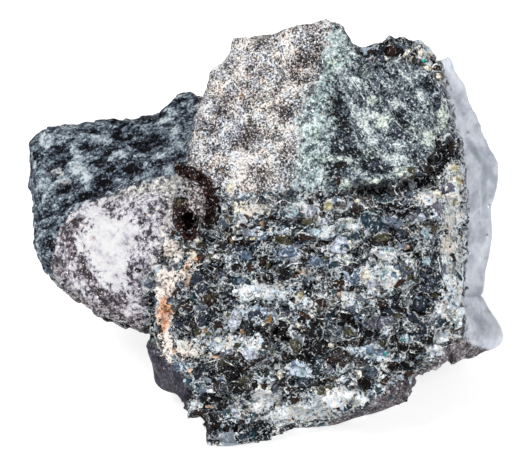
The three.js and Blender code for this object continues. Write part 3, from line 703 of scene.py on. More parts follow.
def spots(show, places, low, high):
    """1 at places of the front view and 0 off them, with a fade between these shares of their reach."""
    seen = seen_places(show)
    shown = 1 - step(show[:, 1], *MARK_DEPTH)
    field = np.zeros(len(seen))
    for right, down, along, across, turn in places:
        cos, sin = math.cos(math.radians(turn)), math.sin(math.radians(turn))
        gap = seen - np.array([right, down])
        reach = np.hypot((gap @ (cos, sin)) / along, (gap @ (-sin, cos)) / across)
        field = np.maximum(field, 1 - step(reach, low, high))
    return field * shown


def fractal(points, size, octaves, shift=0.0):
    """Soft random heights around 0, in waves of the given size and finer ones."""
    offset = Vector((shift, shift * 1.7, shift * 0.6))
    return np.array([noise.fractal(Vector(p) / size + offset, 1.0, 2.0, octaves) for p in points])


def facets(points, size, tilt, lift, groove, shift=0.0):
    """Relief of broken cells. Each one's tilt, lift and the groove between them are shares of its size."""
    offset = Vector((shift, -shift, shift * 0.5))
    heights = np.empty(len(points))
    half = Vector((0.5, 0.5, 0.5))
    for i, point in enumerate(points):
        spot = Vector(point) / size + offset
        (first, second, _, _), (cell, _, _, _) = noise.voronoi(spot)
        chance = noise.cell_vector(cell * 13.7)
        turn = noise.cell_vector(cell * 5.3 + half) - half
        flat = lift * (chance.x - 0.5) + tilt * (spot - cell).dot(turn)
        heights[i] = size * (flat - groove * max(0.0, 1 - (second - first) * 6))
    return heights


# Meshes and objects

def linked(name, data):
    """A new object of the given data, in the scene."""
    made = bpy.data.objects.new(name, data)
    bpy.context.collection.objects.link(made)
    return made


def applied_mesh(thing):
    """The mesh of an object with its modifiers applied. The object itself is removed."""
    bpy.context.view_layer.update()
    shown = thing.evaluated_get(bpy.context.evaluated_depsgraph_get())
    mesh = bpy.data.meshes.new_from_object(shown)
    bpy.data.objects.remove(thing)
    return mesh


def closed_mesh(name, shape):
    """A mesh of a bmesh's closed parts, with their faces turned outwards."""
    bmesh.ops.recalc_face_normals(shape, faces=shape.faces)
    mesh = bpy.data.meshes.new(name)
    shape.to_mesh(mesh)
    shape.free()
    return mesh


def vertex_rows(values, key):
    """A vector of every vertex, as the rows of an array."""
    found = np.empty(len(values) * 3)
    values.foreach_get(key, found)
    return found.reshape(-1, 3)


def store(mesh, name, values):
    mesh.attributes.new(name, "FLOAT", "POINT").data.foreach_set("value", values)


def placed(name, mesh, material):
    """A finished piece of the stone's one body."""
    piece = linked(name, mesh)
    mesh.materials.clear()
    mesh.materials.append(material)
    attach(piece, "root")
    return piece


# The stone's surface

def pulled(points):
    """The points with the pulls of the front view's outline, apart from those near the floor."""
    show = show_places(points)
    seen = seen_places(show)
    moves = np.zeros((len(points), 2))
    for right, down, move_right, move_down, reach in PULLS:
        gap = np.hypot(seen[:, 0] - right, seen[:, 1] - down)
        moves += np.exp(-(gap / reach) ** 2)[:, None] * (move_right, move_down)
    moves *= (1 + show[:, 1:2] / VIEW_DISTANCE) * VIEW_STEP * step(points[:, 2:3], *ABOVE_FLOOR)
    rising = np.array([0, math.sin(LEAN), math.cos(LEAN)])
    return points + moves[:, 0:1] * (1, 0, 0) - moves[:, 1:2] * rising


def even_mesh(settings):
    """The CAD solid with a fine even mesh, and a little softer."""
    source = frame["nodes"]["zinc_ore"]
    mesh = source.data.copy()
    mesh.transform(source.matrix_world)
    tidy = bmesh.new()
    tidy.from_mesh(mesh)
    bmesh.ops.remove_doubles(tidy, verts=tidy.verts, dist=1e-7)
    tidy.to_mesh(mesh)
    tidy.free()
    coarse = linked("coarse_stone", mesh)
    remesh = coarse.modifiers.new("Even", "REMESH")
    remesh.mode = "VOXEL"
    remesh.voxel_size = settings.mesh_step
    smooth = coarse.modifiers.new("Soft", "SMOOTH")
    smooth.factor = 0.5
    smooth.iterations = settings.soften
    return applied_mesh(coarse)


def grounds(show, fields):
    """How much each point is of each kind of ground, from 0 to 1."""
    granular = step(np.maximum(fields["crown"], fields["mint"]), -1, 1)
    lobe = step(fields["lobe"], -1, 1)
    slate = step(np.maximum(fields["shoulder"], fields["wing"]), -1, 1) * (1 - granular)
    smooth = step(np.max([fields[name] for name in ("slab", "facet", "heel")], axis=0), -0.5, 1)
    front = step(ORE_DEPTH - show[:, 1], 0, 3)
    ore = front * (1 - granular) * (1 - lobe) * (1 - slate) * (1 - smooth)
    rest = np.clip(1 - granular - lobe - slate - smooth - ore, 0, 1)
    return {"granular": granular, "lobe": lobe, "slate": slate, "smooth": smooth, "ore": ore, "rest": rest}


def broken_relief(show, ground, facet, dark):
    """Height of the relief of each kind of ground, in millimetres."""
    layered = show * np.array([0.7, 1.0, 1.15])
    height = ground["ore"] * facets(layered, 2.0, tilt=0.7, lift=0.3, groove=0.12)
    height += ground["ore"] * facets(layered, 1.0, tilt=0.6, lift=0.3, groove=0.1, shift=4.0)
    height += ground["granular"] * (0.34 * fractal(show, 2.2, 3) + 0.12 * fractal(show, 0.7, 2, 9.0))
    height += ground["lobe"] * (0.30 * fractal(show, 2.5, 3, 3.0) + 0.07 * fractal(show, 0.8, 2, 5.0))
    slanted = show @ np.array([[0.8, 0, 0.5], [0, 1, 0], [-0.3, 0, 0.9]])
    flaky = facets(slanted, 1.8, tilt=0.5, lift=0.25, groove=0.1, shift=7.0) * 0.8
    height += ground["slate"] * (flaky + 0.14 * fractal(show, 1.0, 2, 2.0))
    height += ground["smooth"] * 0.12 * fractal(show, 3.5, 3, 1.0)
    blocky = facets(show, 2.6, tilt=0.6, lift=0.25, groove=0.08, shift=11.0)
    height += ground["rest"] * (blocky + 0.2 * fractal(show, 1.6, 3, 6.0))
    height += 0.8 * step(facet, -0.5, 1)
    height -= 0.35 * dark * np.maximum(ground["ore"], ground["slate"])
    return height


def sowing_fields(show, ground, fields, marks, bare):
    """Where the scattered grains may grow, from 0 to 1. Bare is 1 on ground that nothing else takes up."""
    clumps = 0.8 * fractal(show, 3.0, 3, 31.0) + 1.1 * (marks["dark"] - marks["pale"])
    crust = step(fields["crust"] + 6 * fractal(show, 2.0, 3, 37.0), -1, 1)
    painted = step(np.maximum(fields["vein"], fields["seam"]), -0.5, 0.2)
    free = ground["ore"] * (1 - painted) * bare
    sugary = 0.5 * ground["lobe"] * (1 - step(fields["clean"], -1, 0))
    return {
        "sow_dark": free * (1 - 0.9 * crust) * step(clumps, -0.3, 0.6),
        "sow_pale": free * np.clip(0.15 + crust - 1.2 * clumps, 0.02, 1),
        "sow_flake": free * step(clumps, -0.5, 0.5),
        "sow_sugar": np.maximum(ground["granular"], sugary),
    }


def stone_mesh(settings):
    """The stone, broken up by relief of each zone's kind, with the fields that its material reads."""
    fine = even_mesh(settings)
    normals = vertex_rows(fine.vertex_normals, "vector")
    points = pulled(vertex_rows(fine.vertices, "co") / MM)
    show = show_places(points)
    fields = zone_fields(show)
    marks = {name: spots(show, places, *MARK_FADE) for name, places in MARKS.items()}
    grains = [place for _, places in SINGLE_GRAINS.values() for place in places]
    ground = grounds(show, fields)

    height = broken_relief(show, ground, fields["facet"], marks["dark"])
    height = np.clip(height * settings.relief, *RELIEF_LIMITS) * step(points[:, 2], *ABOVE_FLOOR)
    points += normals * height[:, None]
    points[:, 2] = np.maximum(points[:, 2], 0)
    fine.vertices.foreach_set("co", (points * MM).ravel())

    bare = (1 - spots(show, grains, *GRAIN_CLEAR)) * step(points[:, 2], *GRAINS_ABOVE)
    fields.update(sowing_fields(show, ground, fields, marks, bare))
    fields["ore"] = ground["ore"]
    # How deep each point lies in the relief's hollows, read by the material as painted shade
    fields["hollow"] = np.clip(-height, 0, 1)
    fields["ring"] = spots(show, grains, *GRAIN_RING)
    for name, field in fields.items():
        store(fine, "zone_" + name, field)
    for name, field in marks.items():
        store(fine, "mark_" + name, field)
    fine.update()
    return fine


class StoneShade(Shade):
    """The stone's material, with the textures that its surfaces share."""

    def __init__(self, name):
        super().__init__(name)
        self.crumpled = self.warped(1.3, 0.3)
        self.fine = self.noise(3.2, 2.0, 0.6)
        self.grit = self.noise(1.7, 3.0, 0.75, 12.0)
        self.mid = self.noise(0.8, 3.0, 0.6, 20.0)
        self.push = self.attribute("mark_pale") - self.attribute("mark_dark")
        self.ragged = (self.mid - 0.5) * 5.0 + (self.grit - 0.5) * 2.5
        self.hollow = self.attribute("zone_hollow")

    def zone(self, name, soft=0.25, shift=0.0, rag=0.6):
        """1 inside a zone and 0 outside it, with a ragged border."""
        return (self.attribute("zone_" + name) + self.ragged * rag + shift).over(-soft, soft)

    def mark(self, name, rag=0.12):
        """1 on a kind of mark and 0 off it, with a ragged border."""
        return (self.attribute("mark_" + name) + self.ragged * rag).over(0.35, 0.65)

    def hued(self, colour, cells, palette):
        """The colour in the palette's hues, one for each cell."""
        hue = self.pick(cells.out("Color"), palette)
        return self.vector("MULTIPLY", self.vector("MULTIPLY", colour, hue), (HUE_GAIN,) * 3)


def ore_surface(g, tint):
    """Glassy dark grains of two sizes in a ground of white flecks and painted glints, with pale threads
    around and across them.
    """
    layered = g.stretch(g.warped(0.5, 1.0, shift=3.0), (0.88, 1.0, 1.08))
    coarse = g.noise(0.3, 3.0, 0.6, 44.0, layered)
    crusty = g.zone("crust", 1.2)
    patchy = g.noise(0.5, 3.0, 0.7, 61.0)
    wavy = g.noise(0.6, 2.0, 0.5, 52.0, layered).thread(0.026)
    curly = g.noise(1.1, 1.0, 0.5, 58.0, layered).thread(0.036)
    threads = wavy.most(curly) * (patchy + g.push * 0.06).over(0.43, 0.53)
    tone = (g.grit - 0.5) * 1.5 + (coarse - 0.5) * 0.95 + g.push * 0.21 + crusty * 0.11 + 0.512
    # Painted shade: darker in the relief's hollows. The ring round single grains is paler.
    tone = tone - g.hollow * 0.08 + g.attribute("zone_ring") * 0.06
    ore = g.ramp(tone, (0.37, (5, 4, 5)), (0.44, (22, 24, 29)), (0.50, (58, 66, 75)),
                 (0.56, (114, 124, 132)), (0.63, (186, 194, 200)), (0.71, (244, 246, 247)))
    ore = g.hued(ore, g.cells(1.3, g.crumpled, 7.0), [
        (30, (188, 188, 188)), (16, (180, 190, 198)), (12, (198, 187, 180)), (10, (194, 190, 174)),
        (6, (180, 192, 190)), (3, (210, 186, 164)),
    ])
    pale = g.mix(g.grit.over(0.40, 0.58), (140, 156, 166), (253, 254, 254))

    def grains(ore, per_mm, shift, chosen):
        cells = g.cells(per_mm, layered, shift)
        hue, chance, shade = g.channels(cells.out("Color"))
        edge = g.cells(per_mm, layered, shift, "DISTANCE_TO_EDGE")
        picked = (chance + g.push * -0.45 - crusty * 0.5).over(chosen, chosen + 0.02)
        face = g.pick(hue, [
            (24, (12, 10, 11)), (18, (34, 26, 23)), (16, (26, 31, 40)), (10, (42, 52, 64)),
            (6, (28, 50, 58)), (6, (58, 54, 40)), (6, (80, 90, 106)), (4, (140, 152, 164)),
        ])
        # Painted light and shade: each glassy face is mixed from a darker and a lighter copy of its colour,
        # by noise and a random share for each cell
        lit = (g.noise(0.8, 2.0, 0.5, 71.0, g.crumpled) + (shade - 0.5) * 0.2).over(0.35, 0.75)
        face = g.mix(lit, g.vector("MULTIPLY", face, (0.6,) * 3), g.vector("MULTIPLY", face, (2.4,) * 3))
        rim = edge.under(0.02, 0.07) * (patchy + (chance - 0.5) * 0.1).over(0.48, 0.56)
        inner = edge.over(0.03, 0.07) * picked
        ore = g.mix(inner * 0.93, ore, face)
        return g.mix(rim * 0.8, ore, pale), inner

    ore, small = grains(ore, 0.85, 5.0, 0.56)
    ore, large = grains(ore, 0.42, 0.0, 0.58)
    glassy = small.most(large)
    ore = g.mix(threads * (0.9 - glassy * 0.4), ore, pale)
    # White flecks: pale specks of the rock, and also painted glints that stand in for lamp highlights, as
    # the ore has little gloss
    flecks_and_glints = (g.fine + g.push * 0.03 + crusty * 0.05 - glassy * 0.03).over(0.62, 0.65)
    ore = g.mix(flecks_and_glints * 0.95, ore, g.mix(g.mid.over(0.4, 0.55), (196, 206, 212), (252, 252, 252)))
    ore = g.tint(g.mark("blue") * 0.8, ore, (0.88, 0.96, 1.06))
    ore = g.tint(g.mark("warm") * 0.7, ore, (1.08, 0.97, 0.86))
    ore = g.tint(g.mark("green") * 0.5, ore, (0.98, 1.02, 0.88))
    # Painted shadow: the band under the shoulder's lip is painted near-black
    black = g.mix(g.fine.over(0.62, 0.66), (10, 8, 9), (96, 96, 100))
    ore = g.mix(g.zone("band", 0.2, -0.1, 0.8) * 0.92, ore, black)
    roughness = g.between(glassy * (1.0 - flecks_and_glints), 0.7, 0.25)
    ore = g.vector("MULTIPLY", ore, tuple(tint))
    bump = g.bump(tone * 1.3 + glassy * 0.5 + threads * 0.3, 0.35)
    return g.surface(ore, roughness, bump, Specular_IOR_Level=0.05)


def vein_surface(g):
    """Cream and peach vein with rusty spots."""
    tone = g.grit + (g.fine - 0.5) * 0.5
    vein = g.ramp(tone, (0.34, (40, 30, 26)), (0.39, (140, 120, 110)), (0.45, (208, 194, 184)),
                  (0.55, (248, 242, 236)))
    rust = g.ramp(tone, (0.38, (110, 50, 22)), (0.48, (200, 118, 62)), (0.58, (232, 172, 130)))
    vein = g.mix(g.zone("rust", 0.5, -0.2, 0.5) * 0.9, vein, rust)
    return g.surface(vein, 0.6, g.bump(g.grit + g.mid, 0.4), Specular_IOR_Level=0.3)


def crown_surface(g, tint):
    """Sugar-fine grains of white, tan, pink-grey and black, in drifts."""
    blotch = g.noise(0.35, 4.0, 0.7, 60.0, g.crumpled)
    speck = g.noise(3.3, 2.0, 0.7, 64.0)
    tone = speck * 1.0 + g.grit * 0.3 + (blotch - 0.5) * 0.75 + g.push * 0.07 - 0.155
    crown = g.ramp(tone, (0.37, (38, 34, 37)), (0.43, (98, 94, 98)), (0.49, (160, 157, 159)),
                   (0.55, (204, 203, 203)), (0.62, (246, 246, 246)))
    crown = g.hued(crown, g.cells(1.0, g.crumpled, 27.0), [
        (20, (188, 188, 188)), (14, (191, 187, 183)), (12, (184, 188, 193)), (6, (194, 186, 180)),
        (4, (186, 190, 187)),
    ])
    drift = g.noise(0.25, 3.0, 0.6, 75.0)
    crown = g.tint(drift.over(0.48, 0.62) * 0.5, crown, (1.01, 0.98, 0.95))
    crown = g.tint(drift.under(0.38, 0.50) * 0.5, crown, (0.93, 0.98, 1.04))
    crown = g.tint(g.mark("warm", 0.3) * 0.6, crown, (1.01, 0.97, 0.91))
    crown = g.tint(g.mark("blue", 0.3) * 0.7, crown, (0.90, 0.96, 1.03))
    spot = g.cells(0.8, g.crumpled, 23.0)
    spotted = spot.under(0.16, 0.26) * spot.out("Color").over(0.86, 0.88)
    crown = g.mix(spotted * 0.4, crown, (176, 138, 98))
    crown = g.vector("MULTIPLY", crown, tuple(tint))
    return g.surface(crown, 0.75, g.bump(speck * 1.6 + g.mid * 0.6, 0.3), Specular_IOR_Level=0.25)


def mint_surface(g):
    """The crown's border, greener and paler."""
    blotch = g.noise(0.4, 4.0, 0.7, 60.0, g.crumpled)
    tone = g.grit * 0.6 + g.fine * 0.4 + (blotch - 0.5) * 0.6 + g.push * 0.06 - 0.008
    mint = g.ramp(tone, (0.37, (36, 46, 50)), (0.43, (104, 121, 125)), (0.49, (160, 178, 180)),
                  (0.56, (200, 216, 214)), (0.64, (242, 248, 246)))
    mint = g.tint(g.mark("green", 0.3) * 0.8, mint, (0.97, 1.01, 0.91))
    return g.surface(mint, 0.7, g.bump(g.grit + g.fine * 0.6, 0.35), Specular_IOR_Level=0.25)


def shoulder_surface(g):
    """Slate-green rock with pale patches, diagonal streaks and white specks."""
    slanted = g.turned(g.crumpled, "Y_AXIS", math.radians(-50))
    streaky = g.noise(0.9, 3.0, 0.65, 15.0, g.stretch(slanted, (0.45, 1.0, 1.3)))
    patch = g.cells(1.1, g.crumpled, 43.0).out("Color")
    tone = g.grit * 0.6 + streaky * 0.4 + (g.fine - 0.5) * 0.6 + (patch - 0.5) * 0.06 + g.push * 0.13
    slate = g.ramp(tone - 0.01, (0.36, (14, 15, 19)), (0.44, (58, 65, 74)), (0.52, (104, 115, 123)),
                   (0.60, (158, 170, 175)), (0.69, (230, 235, 233)))
    slate = g.tint(g.mark("green", 0.3) * 0.8, slate, (1.0, 1.02, 0.88))
    line = g.noise(0.55, 2.0, 0.5, 17.0, g.stretch(slanted, (0.35, 1.0, 1.6))).thread(0.03)
    line = line * (g.mid + g.push * 0.08).over(0.48, 0.56)
    speck = (g.fine + g.push * 0.03).over(0.63, 0.67).most(line)
    slate = g.mix(speck * 0.85, slate, (228, 237, 234))
    bump = g.bump(streaky + g.grit + g.fine * 0.5, 0.35)
    return g.surface(slate, 0.55, bump, Specular_IOR_Level=0.1)


def wing_surface(g):
    """Dark slate-blue rock of small angular flakes, streaked along its length."""
    slanted = g.turned(g.crumpled, "Y_AXIS", math.radians(22))
    flaky = g.stretch(slanted, (0.65, 1.0, 1.3))
    streak = g.noise(0.7, 4.0, 0.7, 33.0, flaky)
    first, _, _ = g.channels(g.cells(0.8, flaky, 41.0).out("Color"))
    second, _, _ = g.channels(g.cells(1.7, flaky, 47.0).out("Color"))
    flat = (first - 0.5) * 0.17 + (second - 0.5) * 0.14
    tone = streak * 0.45 + (g.grit - 0.5) * 0.45 + (g.fine - 0.5) * 0.4 + flat + g.push * 0.12 + 0.30
    wing = g.ramp(tone, (0.37, (7, 6, 9)), (0.44, (32, 35, 44)), (0.52, (80, 89, 102)),
                  (0.60, (124, 138, 149)), (0.72, (200, 210, 214)))
    wing = g.tint(g.mark("warm") * 0.7, wing, (1.2, 0.98, 0.86))
    speck = g.fine.over(0.66, 0.70)
    wing = g.mix(speck * 0.6, wing, (196, 208, 214))
    return g.surface(wing, 0.5, g.bump(streak + g.grit, 0.5), Specular_IOR_Level=0.08)


def lobe_surface(g):
    """Milky white rock with blue-grey specks, a clean heart and brown granular borders."""
    milky = g.noise(0.5, 4.0, 0.65, 90.0, g.crumpled)
    brown = g.mark("brown", 0.3)
    heart = g.zone("clean", 0.6, 0.0, 0.9)
    speckle = (g.grit - 0.5) * 1.1 + (g.mid - 0.5) * 0.5
    tone = speckle * (1.0 - heart * 0.6) + (milky - 0.5) * 0.7 + heart * 0.14 - brown * 0.10
    tone = tone - g.attribute("mark_dark") * 0.15 + 0.48
    lobe = g.ramp(tone, (0.33, (34, 29, 33)), (0.41, (96, 90, 100)), (0.48, (150, 147, 158)),
                  (0.55, (190, 188, 194)), (0.68, (214, 213, 213)))
    lobe = g.tint(brown * 0.8, lobe, (1.02, 0.92, 0.88))
    grainy = g.ramp(speckle + 0.5, (0.36, (50, 47, 46)), (0.46, (128, 126, 124)), (0.54, (176, 175, 172)),
                    (0.64, (218, 216, 212)))
    lobe = g.mix(g.zone("olive", 0.6, 0.0, 0.8), lobe, grainy)
    dark = g.ramp(speckle + 0.5, (0.40, (14, 11, 13)), (0.5, (60, 54, 58)), (0.6, (170, 164, 168)))
    lobe = g.mix(g.zone("husk", 0.5, 0.0, 0.7), lobe, dark)
    return g.surface(lobe, 0.6, g.bump(milky + g.grit * 0.6, 0.4), Specular_IOR_Level=0.3)


def patch_surface(g):
    """Grey-brown speckled rock between the seam's two legs."""
    tone = g.grit + (g.fine - 0.5) * 0.6
    patch = g.ramp(tone, (0.40, (44, 37, 38)), (0.46, (100, 93, 96)), (0.52, (158, 150, 151)),
                   (0.60, (224, 218, 216)))
    return g.surface(patch, 0.6, g.bump(g.grit + g.fine, 0.35), Specular_IOR_Level=0.1)


def slab_surface(g, tint):
    """Smooth pale lavender-grey rock with faint bluish streaks."""
    cloud = g.noise(0.35, 4.0, 0.6, 100.0)
    tone = cloud + (g.grit - 0.5) * 0.2
    slab = g.ramp(tone, (0.34, (158, 164, 176)), (0.5, (194, 199, 210)), (0.66, (216, 221, 229)))
    slab = g.mix(g.attribute("mark_blue") * 0.6, slab, (120, 132, 142))
    slab = g.vector("MULTIPLY", slab, tuple(tint))
    return g.surface(slab, 0.6, g.bump(cloud + g.fine * 0.2, 0.3), Specular_IOR_Level=0.3)


def rock_surface(g, tones):
    """Plain dark rock with fine specks."""
    dull = g.noise(0.5, 4.0, 0.65, 110.0)
    tone = dull * 0.6 + g.grit * 0.4 + (g.fine - 0.5) * 0.5
    rock = g.ramp(tone, *zip((0.36, 0.46, 0.56, 0.66), tones))
    return g.surface(rock, 0.6, g.bump(dull + g.grit, 0.35), Specular_IOR_Level=0.1)


def seam_surface(g):
    """Red-brown glossy seam."""
    brown = g.mix(g.mid.over(0.4, 0.65), (14, 5, 6), (48, 22, 20))
    brown = g.mix(g.fine.over(0.61, 0.65) * 0.9, brown, (176, 166, 162))
    bump = g.bump(g.mid + g.grit * 0.6, 0.5)
    return g.surface(brown, 0.3, bump, Specular_IOR_Level=0.1)


def stone_material(settings):
    """Each kind of rock as its own surface, joined along ragged borders."""
    g = StoneShade("stone_surface")
    ore = ore_surface(g, settings.ore_tint)
    slate = shoulder_surface(g)
    stone = rock_surface(g, ((26, 24, 29), (66, 64, 72), (108, 107, 116), (180, 180, 186)))
    # The lower left facet: its own violet-grey, darkened further as painted shade, as it faces down
    facet = rock_surface(g, ((22, 20, 26), (48, 45, 54), (72, 69, 80), (130, 128, 140)))
    under = rock_surface(g, ((24, 21, 24), (76, 71, 75), (128, 122, 128), (210, 206, 210)))
    stone = g.join(g.attribute("zone_ore").over(0.3, 0.5), stone, ore)
    stone = g.join(g.zone("slab"), stone, slab_surface(g, settings.slab_tint))
    stone = g.join(g.zone("wing"), stone, wing_surface(g))
    stone = g.join(g.zone("shoulder", 0.5), stone, slate)
    stone = g.join(g.zone("crown", 0.4), stone, crown_surface(g, settings.crown_tint))
    stone = g.join(g.zone("mint", 1.2, -0.4, 1.7), stone, mint_surface(g))
    stone = g.join(g.zone("lobe"), stone, lobe_surface(g))
    stone = g.join(g.zone("rim", 0.2, 0.2), stone, ore)
    stone = g.join(g.zone("under", 0.3, 0.0, 0.4).most(g.zone("heel", 0.3, 0.0, 0.2)), stone, under)
    stone = g.join(g.zone("facet", 0.3, 0.0, 0.3), stone, facet)
    stone = g.join(g.zone("vein", 0.2, -0.2, 0.8), stone, vein_surface(g))
    stone = g.join(g.zone("patch", 0.2, 0.0, 0.4), stone, patch_surface(g))
    stone = g.join(g.zone("seam", 0.15, 0.15, 0.35), stone, seam_surface(g))
    return g.finish(stone)


# Grains and crystals

def broken_points(corners, dice):
    """Corners thrown on an uneven ball."""
    spots = []
    for index in range(corners):
        height = 1 - 2 * (index + 0.5) / corners
        angle = index * CORNER_TURN + dice.uniform(-0.5, 0.5)
        ring = math.sqrt(1 - height * height)
        spot = Vector((ring * math.cos(angle), ring * math.sin(angle), height))
        spots.append(spot * dice.uniform(0.8, 1.1))
    return spots


def add_hull(shape, spots):
    """Adds the closed hull of some corners to a bmesh, and returns its faces."""
    corners = [shape.verts.new(spot) for spot in spots]
    hull = bmesh.ops.convex_hull(shape, input=corners)
    bmesh.ops.delete(shape, geom=hull["geom_interior"], context="VERTS")
    return [part for part in hull["geom"] if isinstance(part, bmesh.types.BMFace)]


def shape_kit(name, reach, corners, kinds, seed):
    """A collection of loose broken grains to scatter from."""
    kit = bpy.data.collections.new(name)
    for index in range(kinds):
        dice = np.random.default_rng(seed + index)
        shape = bmesh.new()
        spots = broken_points(corners, dice)
        add_hull(shape, [Vector(a * b for a, b in zip(spot, reach)) for spot in spots])
        kit.objects.link(bpy.data.objects.new(f"{name}_{index}", closed_mesh(name, shape)))
    return kit


SCATTER_INPUTS = {
    "Stone": "NodeSocketGeometry",
    "Kit": "NodeSocketCollection",
    "Material": "NodeSocketMaterial",
    "Zone": "NodeSocketString",
    "Density": "NodeSocketFloat",
    "Spacing": "NodeSocketFloat",
    "Smallest": "NodeSocketFloat",
    "Largest": "NodeSocketFloat",
    "Sink": "NodeSocketFloat",
    "Tilt": "NodeSocketFloat",
    "Seed": "NodeSocketInt",
}


def scatter_tree():
    """Sets grains of a kit on the stone, the more thickly the higher a zone's value is."""
    tree = bpy.data.node_groups.new("scatter_grains", "GeometryNodeTree")
    g = Graph(tree)
    for name, kind in SCATTER_INPUTS.items():
        tree.interface.new_socket(name, in_out="INPUT", socket_type=kind)
    tree.interface.new_socket("Grains", in_out="OUTPUT", socket_type="NodeSocketGeometry")
    given = g.node("NodeGroupInput", {}, {})
    seed = given.out("Seed")

    zone = g.node("GeometryNodeInputNamedAttribute", {"data_type": "FLOAT"}, {"Name": given.out("Zone")})
    points = g.node("GeometryNodeDistributePointsOnFaces", {"distribute_method": "POISSON"}, {
        "Mesh": given.out("Stone"), "Distance Min": given.out("Spacing"),
        "Density Max": given.out("Density"), "Density Factor": zone, "Seed": seed,
    })
    normal = points.out("Normal")

    def chance(low, high, shift, kind="FLOAT"):
        inputs = {"Min": low, "Max": high, "Seed": seed + shift}
        return g.node("FunctionNodeRandomValue", {"data_type": kind}, inputs)

    share = chance(0.0, 1.0, 1) ** 2.2
    size = given.out("Smallest") + (given.out("Largest") - given.out("Smallest")) * share
    kept = g.node("GeometryNodeStoreNamedAttribute", {"data_type": "FLOAT", "domain": "POINT"}, {
        "Geometry": points, "Name": "tint", "Value": chance(0.0, 1.0, 2),
    })
    sunk = g.node("ShaderNodeVectorMath", {"operation": "SCALE"}, {
        "Vector": normal, "Scale": size * given.out("Sink") * -1.0,
    })
    lowered = g.node("GeometryNodeSetPosition", {}, {"Geometry": kept, "Offset": sunk})
    upright = g.node("FunctionNodeAlignRotationToVector", {"axis": "Z"}, {"Vector": normal})
    tilt = given.out("Tilt")
    euler = g.node("ShaderNodeCombineXYZ", {}, [
        chance(-1.0, 1.0, 3) * tilt, chance(-1.0, 1.0, 4) * tilt, chance(0.0, FULL_TURN, 5),
    ])
    spin = g.node("FunctionNodeEulerToRotation", {}, [euler])
    turned = g.node("FunctionNodeRotateRotation", {"rotation_space": "LOCAL"}, [upright, spin])
    shapes = g.node("GeometryNodeCollectionInfo", {}, {
        "Collection": given.out("Kit"), "Separate Children": True, "Reset Children": True,
    })
    which = chance(0, 40, 6, "INT")
    scale = g.node("ShaderNodeCombineXYZ", {}, [size * chance(0.8, 1.3, 7), size, size])
    grown = g.node("GeometryNodeInstanceOnPoints", {}, {
        "Points": lowered, "Instance": shapes, "Pick Instance": True, "Instance Index": which,
        "Rotation": turned, "Scale": scale,
    })
    whole = g.node("GeometryNodeRealizeInstances", {}, [grown])
    painted = g.node("GeometryNodeSetMaterial", {}, {"Geometry": whole, "Material": given.out("Material")})
    g.node("NodeGroupOutput", {}, [painted])
    return tree


def scattered(name, material, slot_name, kit, **inputs):
    """A piece of many grains set on the stone. Sizes are in millimetres, and density is per square one."""
    tree = bpy.data.node_groups.get("scatter_grains") or scatter_tree()
    stone = bpy.data.objects["stone"]
    ground = linked("ground", stone.data.copy())
    scatter = ground.modifiers.new("Scatter", "NODES")
    scatter.node_group = tree
    sockets = {item.name: item.identifier for item in tree.interface.items_tree if item.in_out == "INPUT"}
    values = {"Kit": kit, "Material": material, **inputs}
    for key, value in values.items():
        if key in ("Spacing", "Smallest", "Largest"):
            value *= MM
        elif key == "Density":
            value /= MM ** 2
        scatter[sockets[key]] = value
    ground.update_tag()
    mesh = applied_mesh(ground)
    for shape in list(kit.objects):
        bpy.data.objects.remove(shape)
    bpy.data.collections.remove(kit)
    for field in [layer.name for layer in mesh.attributes if layer.name.startswith(("zone_", "mark_"))]:
        mesh.attributes.remove(mesh.attributes[field])
    return placed(name, mesh, material)


def stone_from_the_front():
    """The stone's surface for casting rays on, and the place that the front view is seen from."""
    stone = bpy.data.objects["stone"].data
    ground = BVHTree.FromPolygons([vertex.co for vertex in stone.vertices],
                                  [polygon.vertices for polygon in stone.polygons])
    eye = show_to_model(0, -VIEW_DISTANCE, VIEW_RISE) * MM
    return ground, eye


def met_ground(ground, eye, right, down, length, width):
    """Where lines of sight around a place in the front view meet the stone: their mean point and normal."""
    spots = []
    normals = []
    for along, across in ((0, 0), (1, 0), (-1, 0), (0, 1), (0, -1)):
        ray = view_ray(eye, right + along * GRAIN_AROUND * length, down + across * GRAIN_AROUND * width)
        spot, normal, _, _ = ground.ray_cast(eye, ray)
        if spot is None:
            return None, None
        spots.append(spot)
        normals.append(normal)
    return sum(spots, Vector()) / len(spots), sum(normals, Vector()).normalized()


def single_grains():
    """The named grains, each set where the line of sight to its place meets the stone."""
    ground, eye = stone_from_the_front()
    view = Matrix((Vector((1, 0, 0)), UPWARDS, TOWARDS)).transposed()
    dice = np.random.default_rng(17)
    shape = bmesh.new()
    tint = shape.faces.layers.float.new("tint")
    for index, (_, grains) in enumerate(SINGLE_GRAINS.values()):
        for right, down, length, width, turn in grains:
            spot, normal = met_ground(ground, eye, right, down, length, width)
            if spot is None:
                continue
            thickness = 0.5 * min(length, width) + 2.5
            reach = Vector((length, width, thickness)) * VIEW_STEP * GRAIN_SPREAD
            lean = Euler((dice.uniform(-0.22, 0.22), dice.uniform(-0.22, 0.22), -math.radians(turn)))
            # Its flat top faces between the camera and the stone's normal
            facing = TOWARDS.rotation_difference((TOWARDS * 1.5 + normal).normalized()).to_matrix()
            turned = facing @ view @ lean.to_matrix()
            centre = spot + turned @ Vector((0, 0, GRAIN_STAND - reach.z * GRAIN_TOP)) * MM
            corners = broken_points(int(dice.integers(14, 19)), dice)
            for corner in corners:
                corner.z = min(corner.z, GRAIN_TOP)
            hull = add_hull(shape, [
                centre + turned @ Vector(a * b for a, b in zip(corner, reach)) * MM for corner in corners
            ])
            for face in hull:
                face[tint] = (index + 0.5) / len(SINGLE_GRAINS)
    return closed_mesh("single_grains", shape)


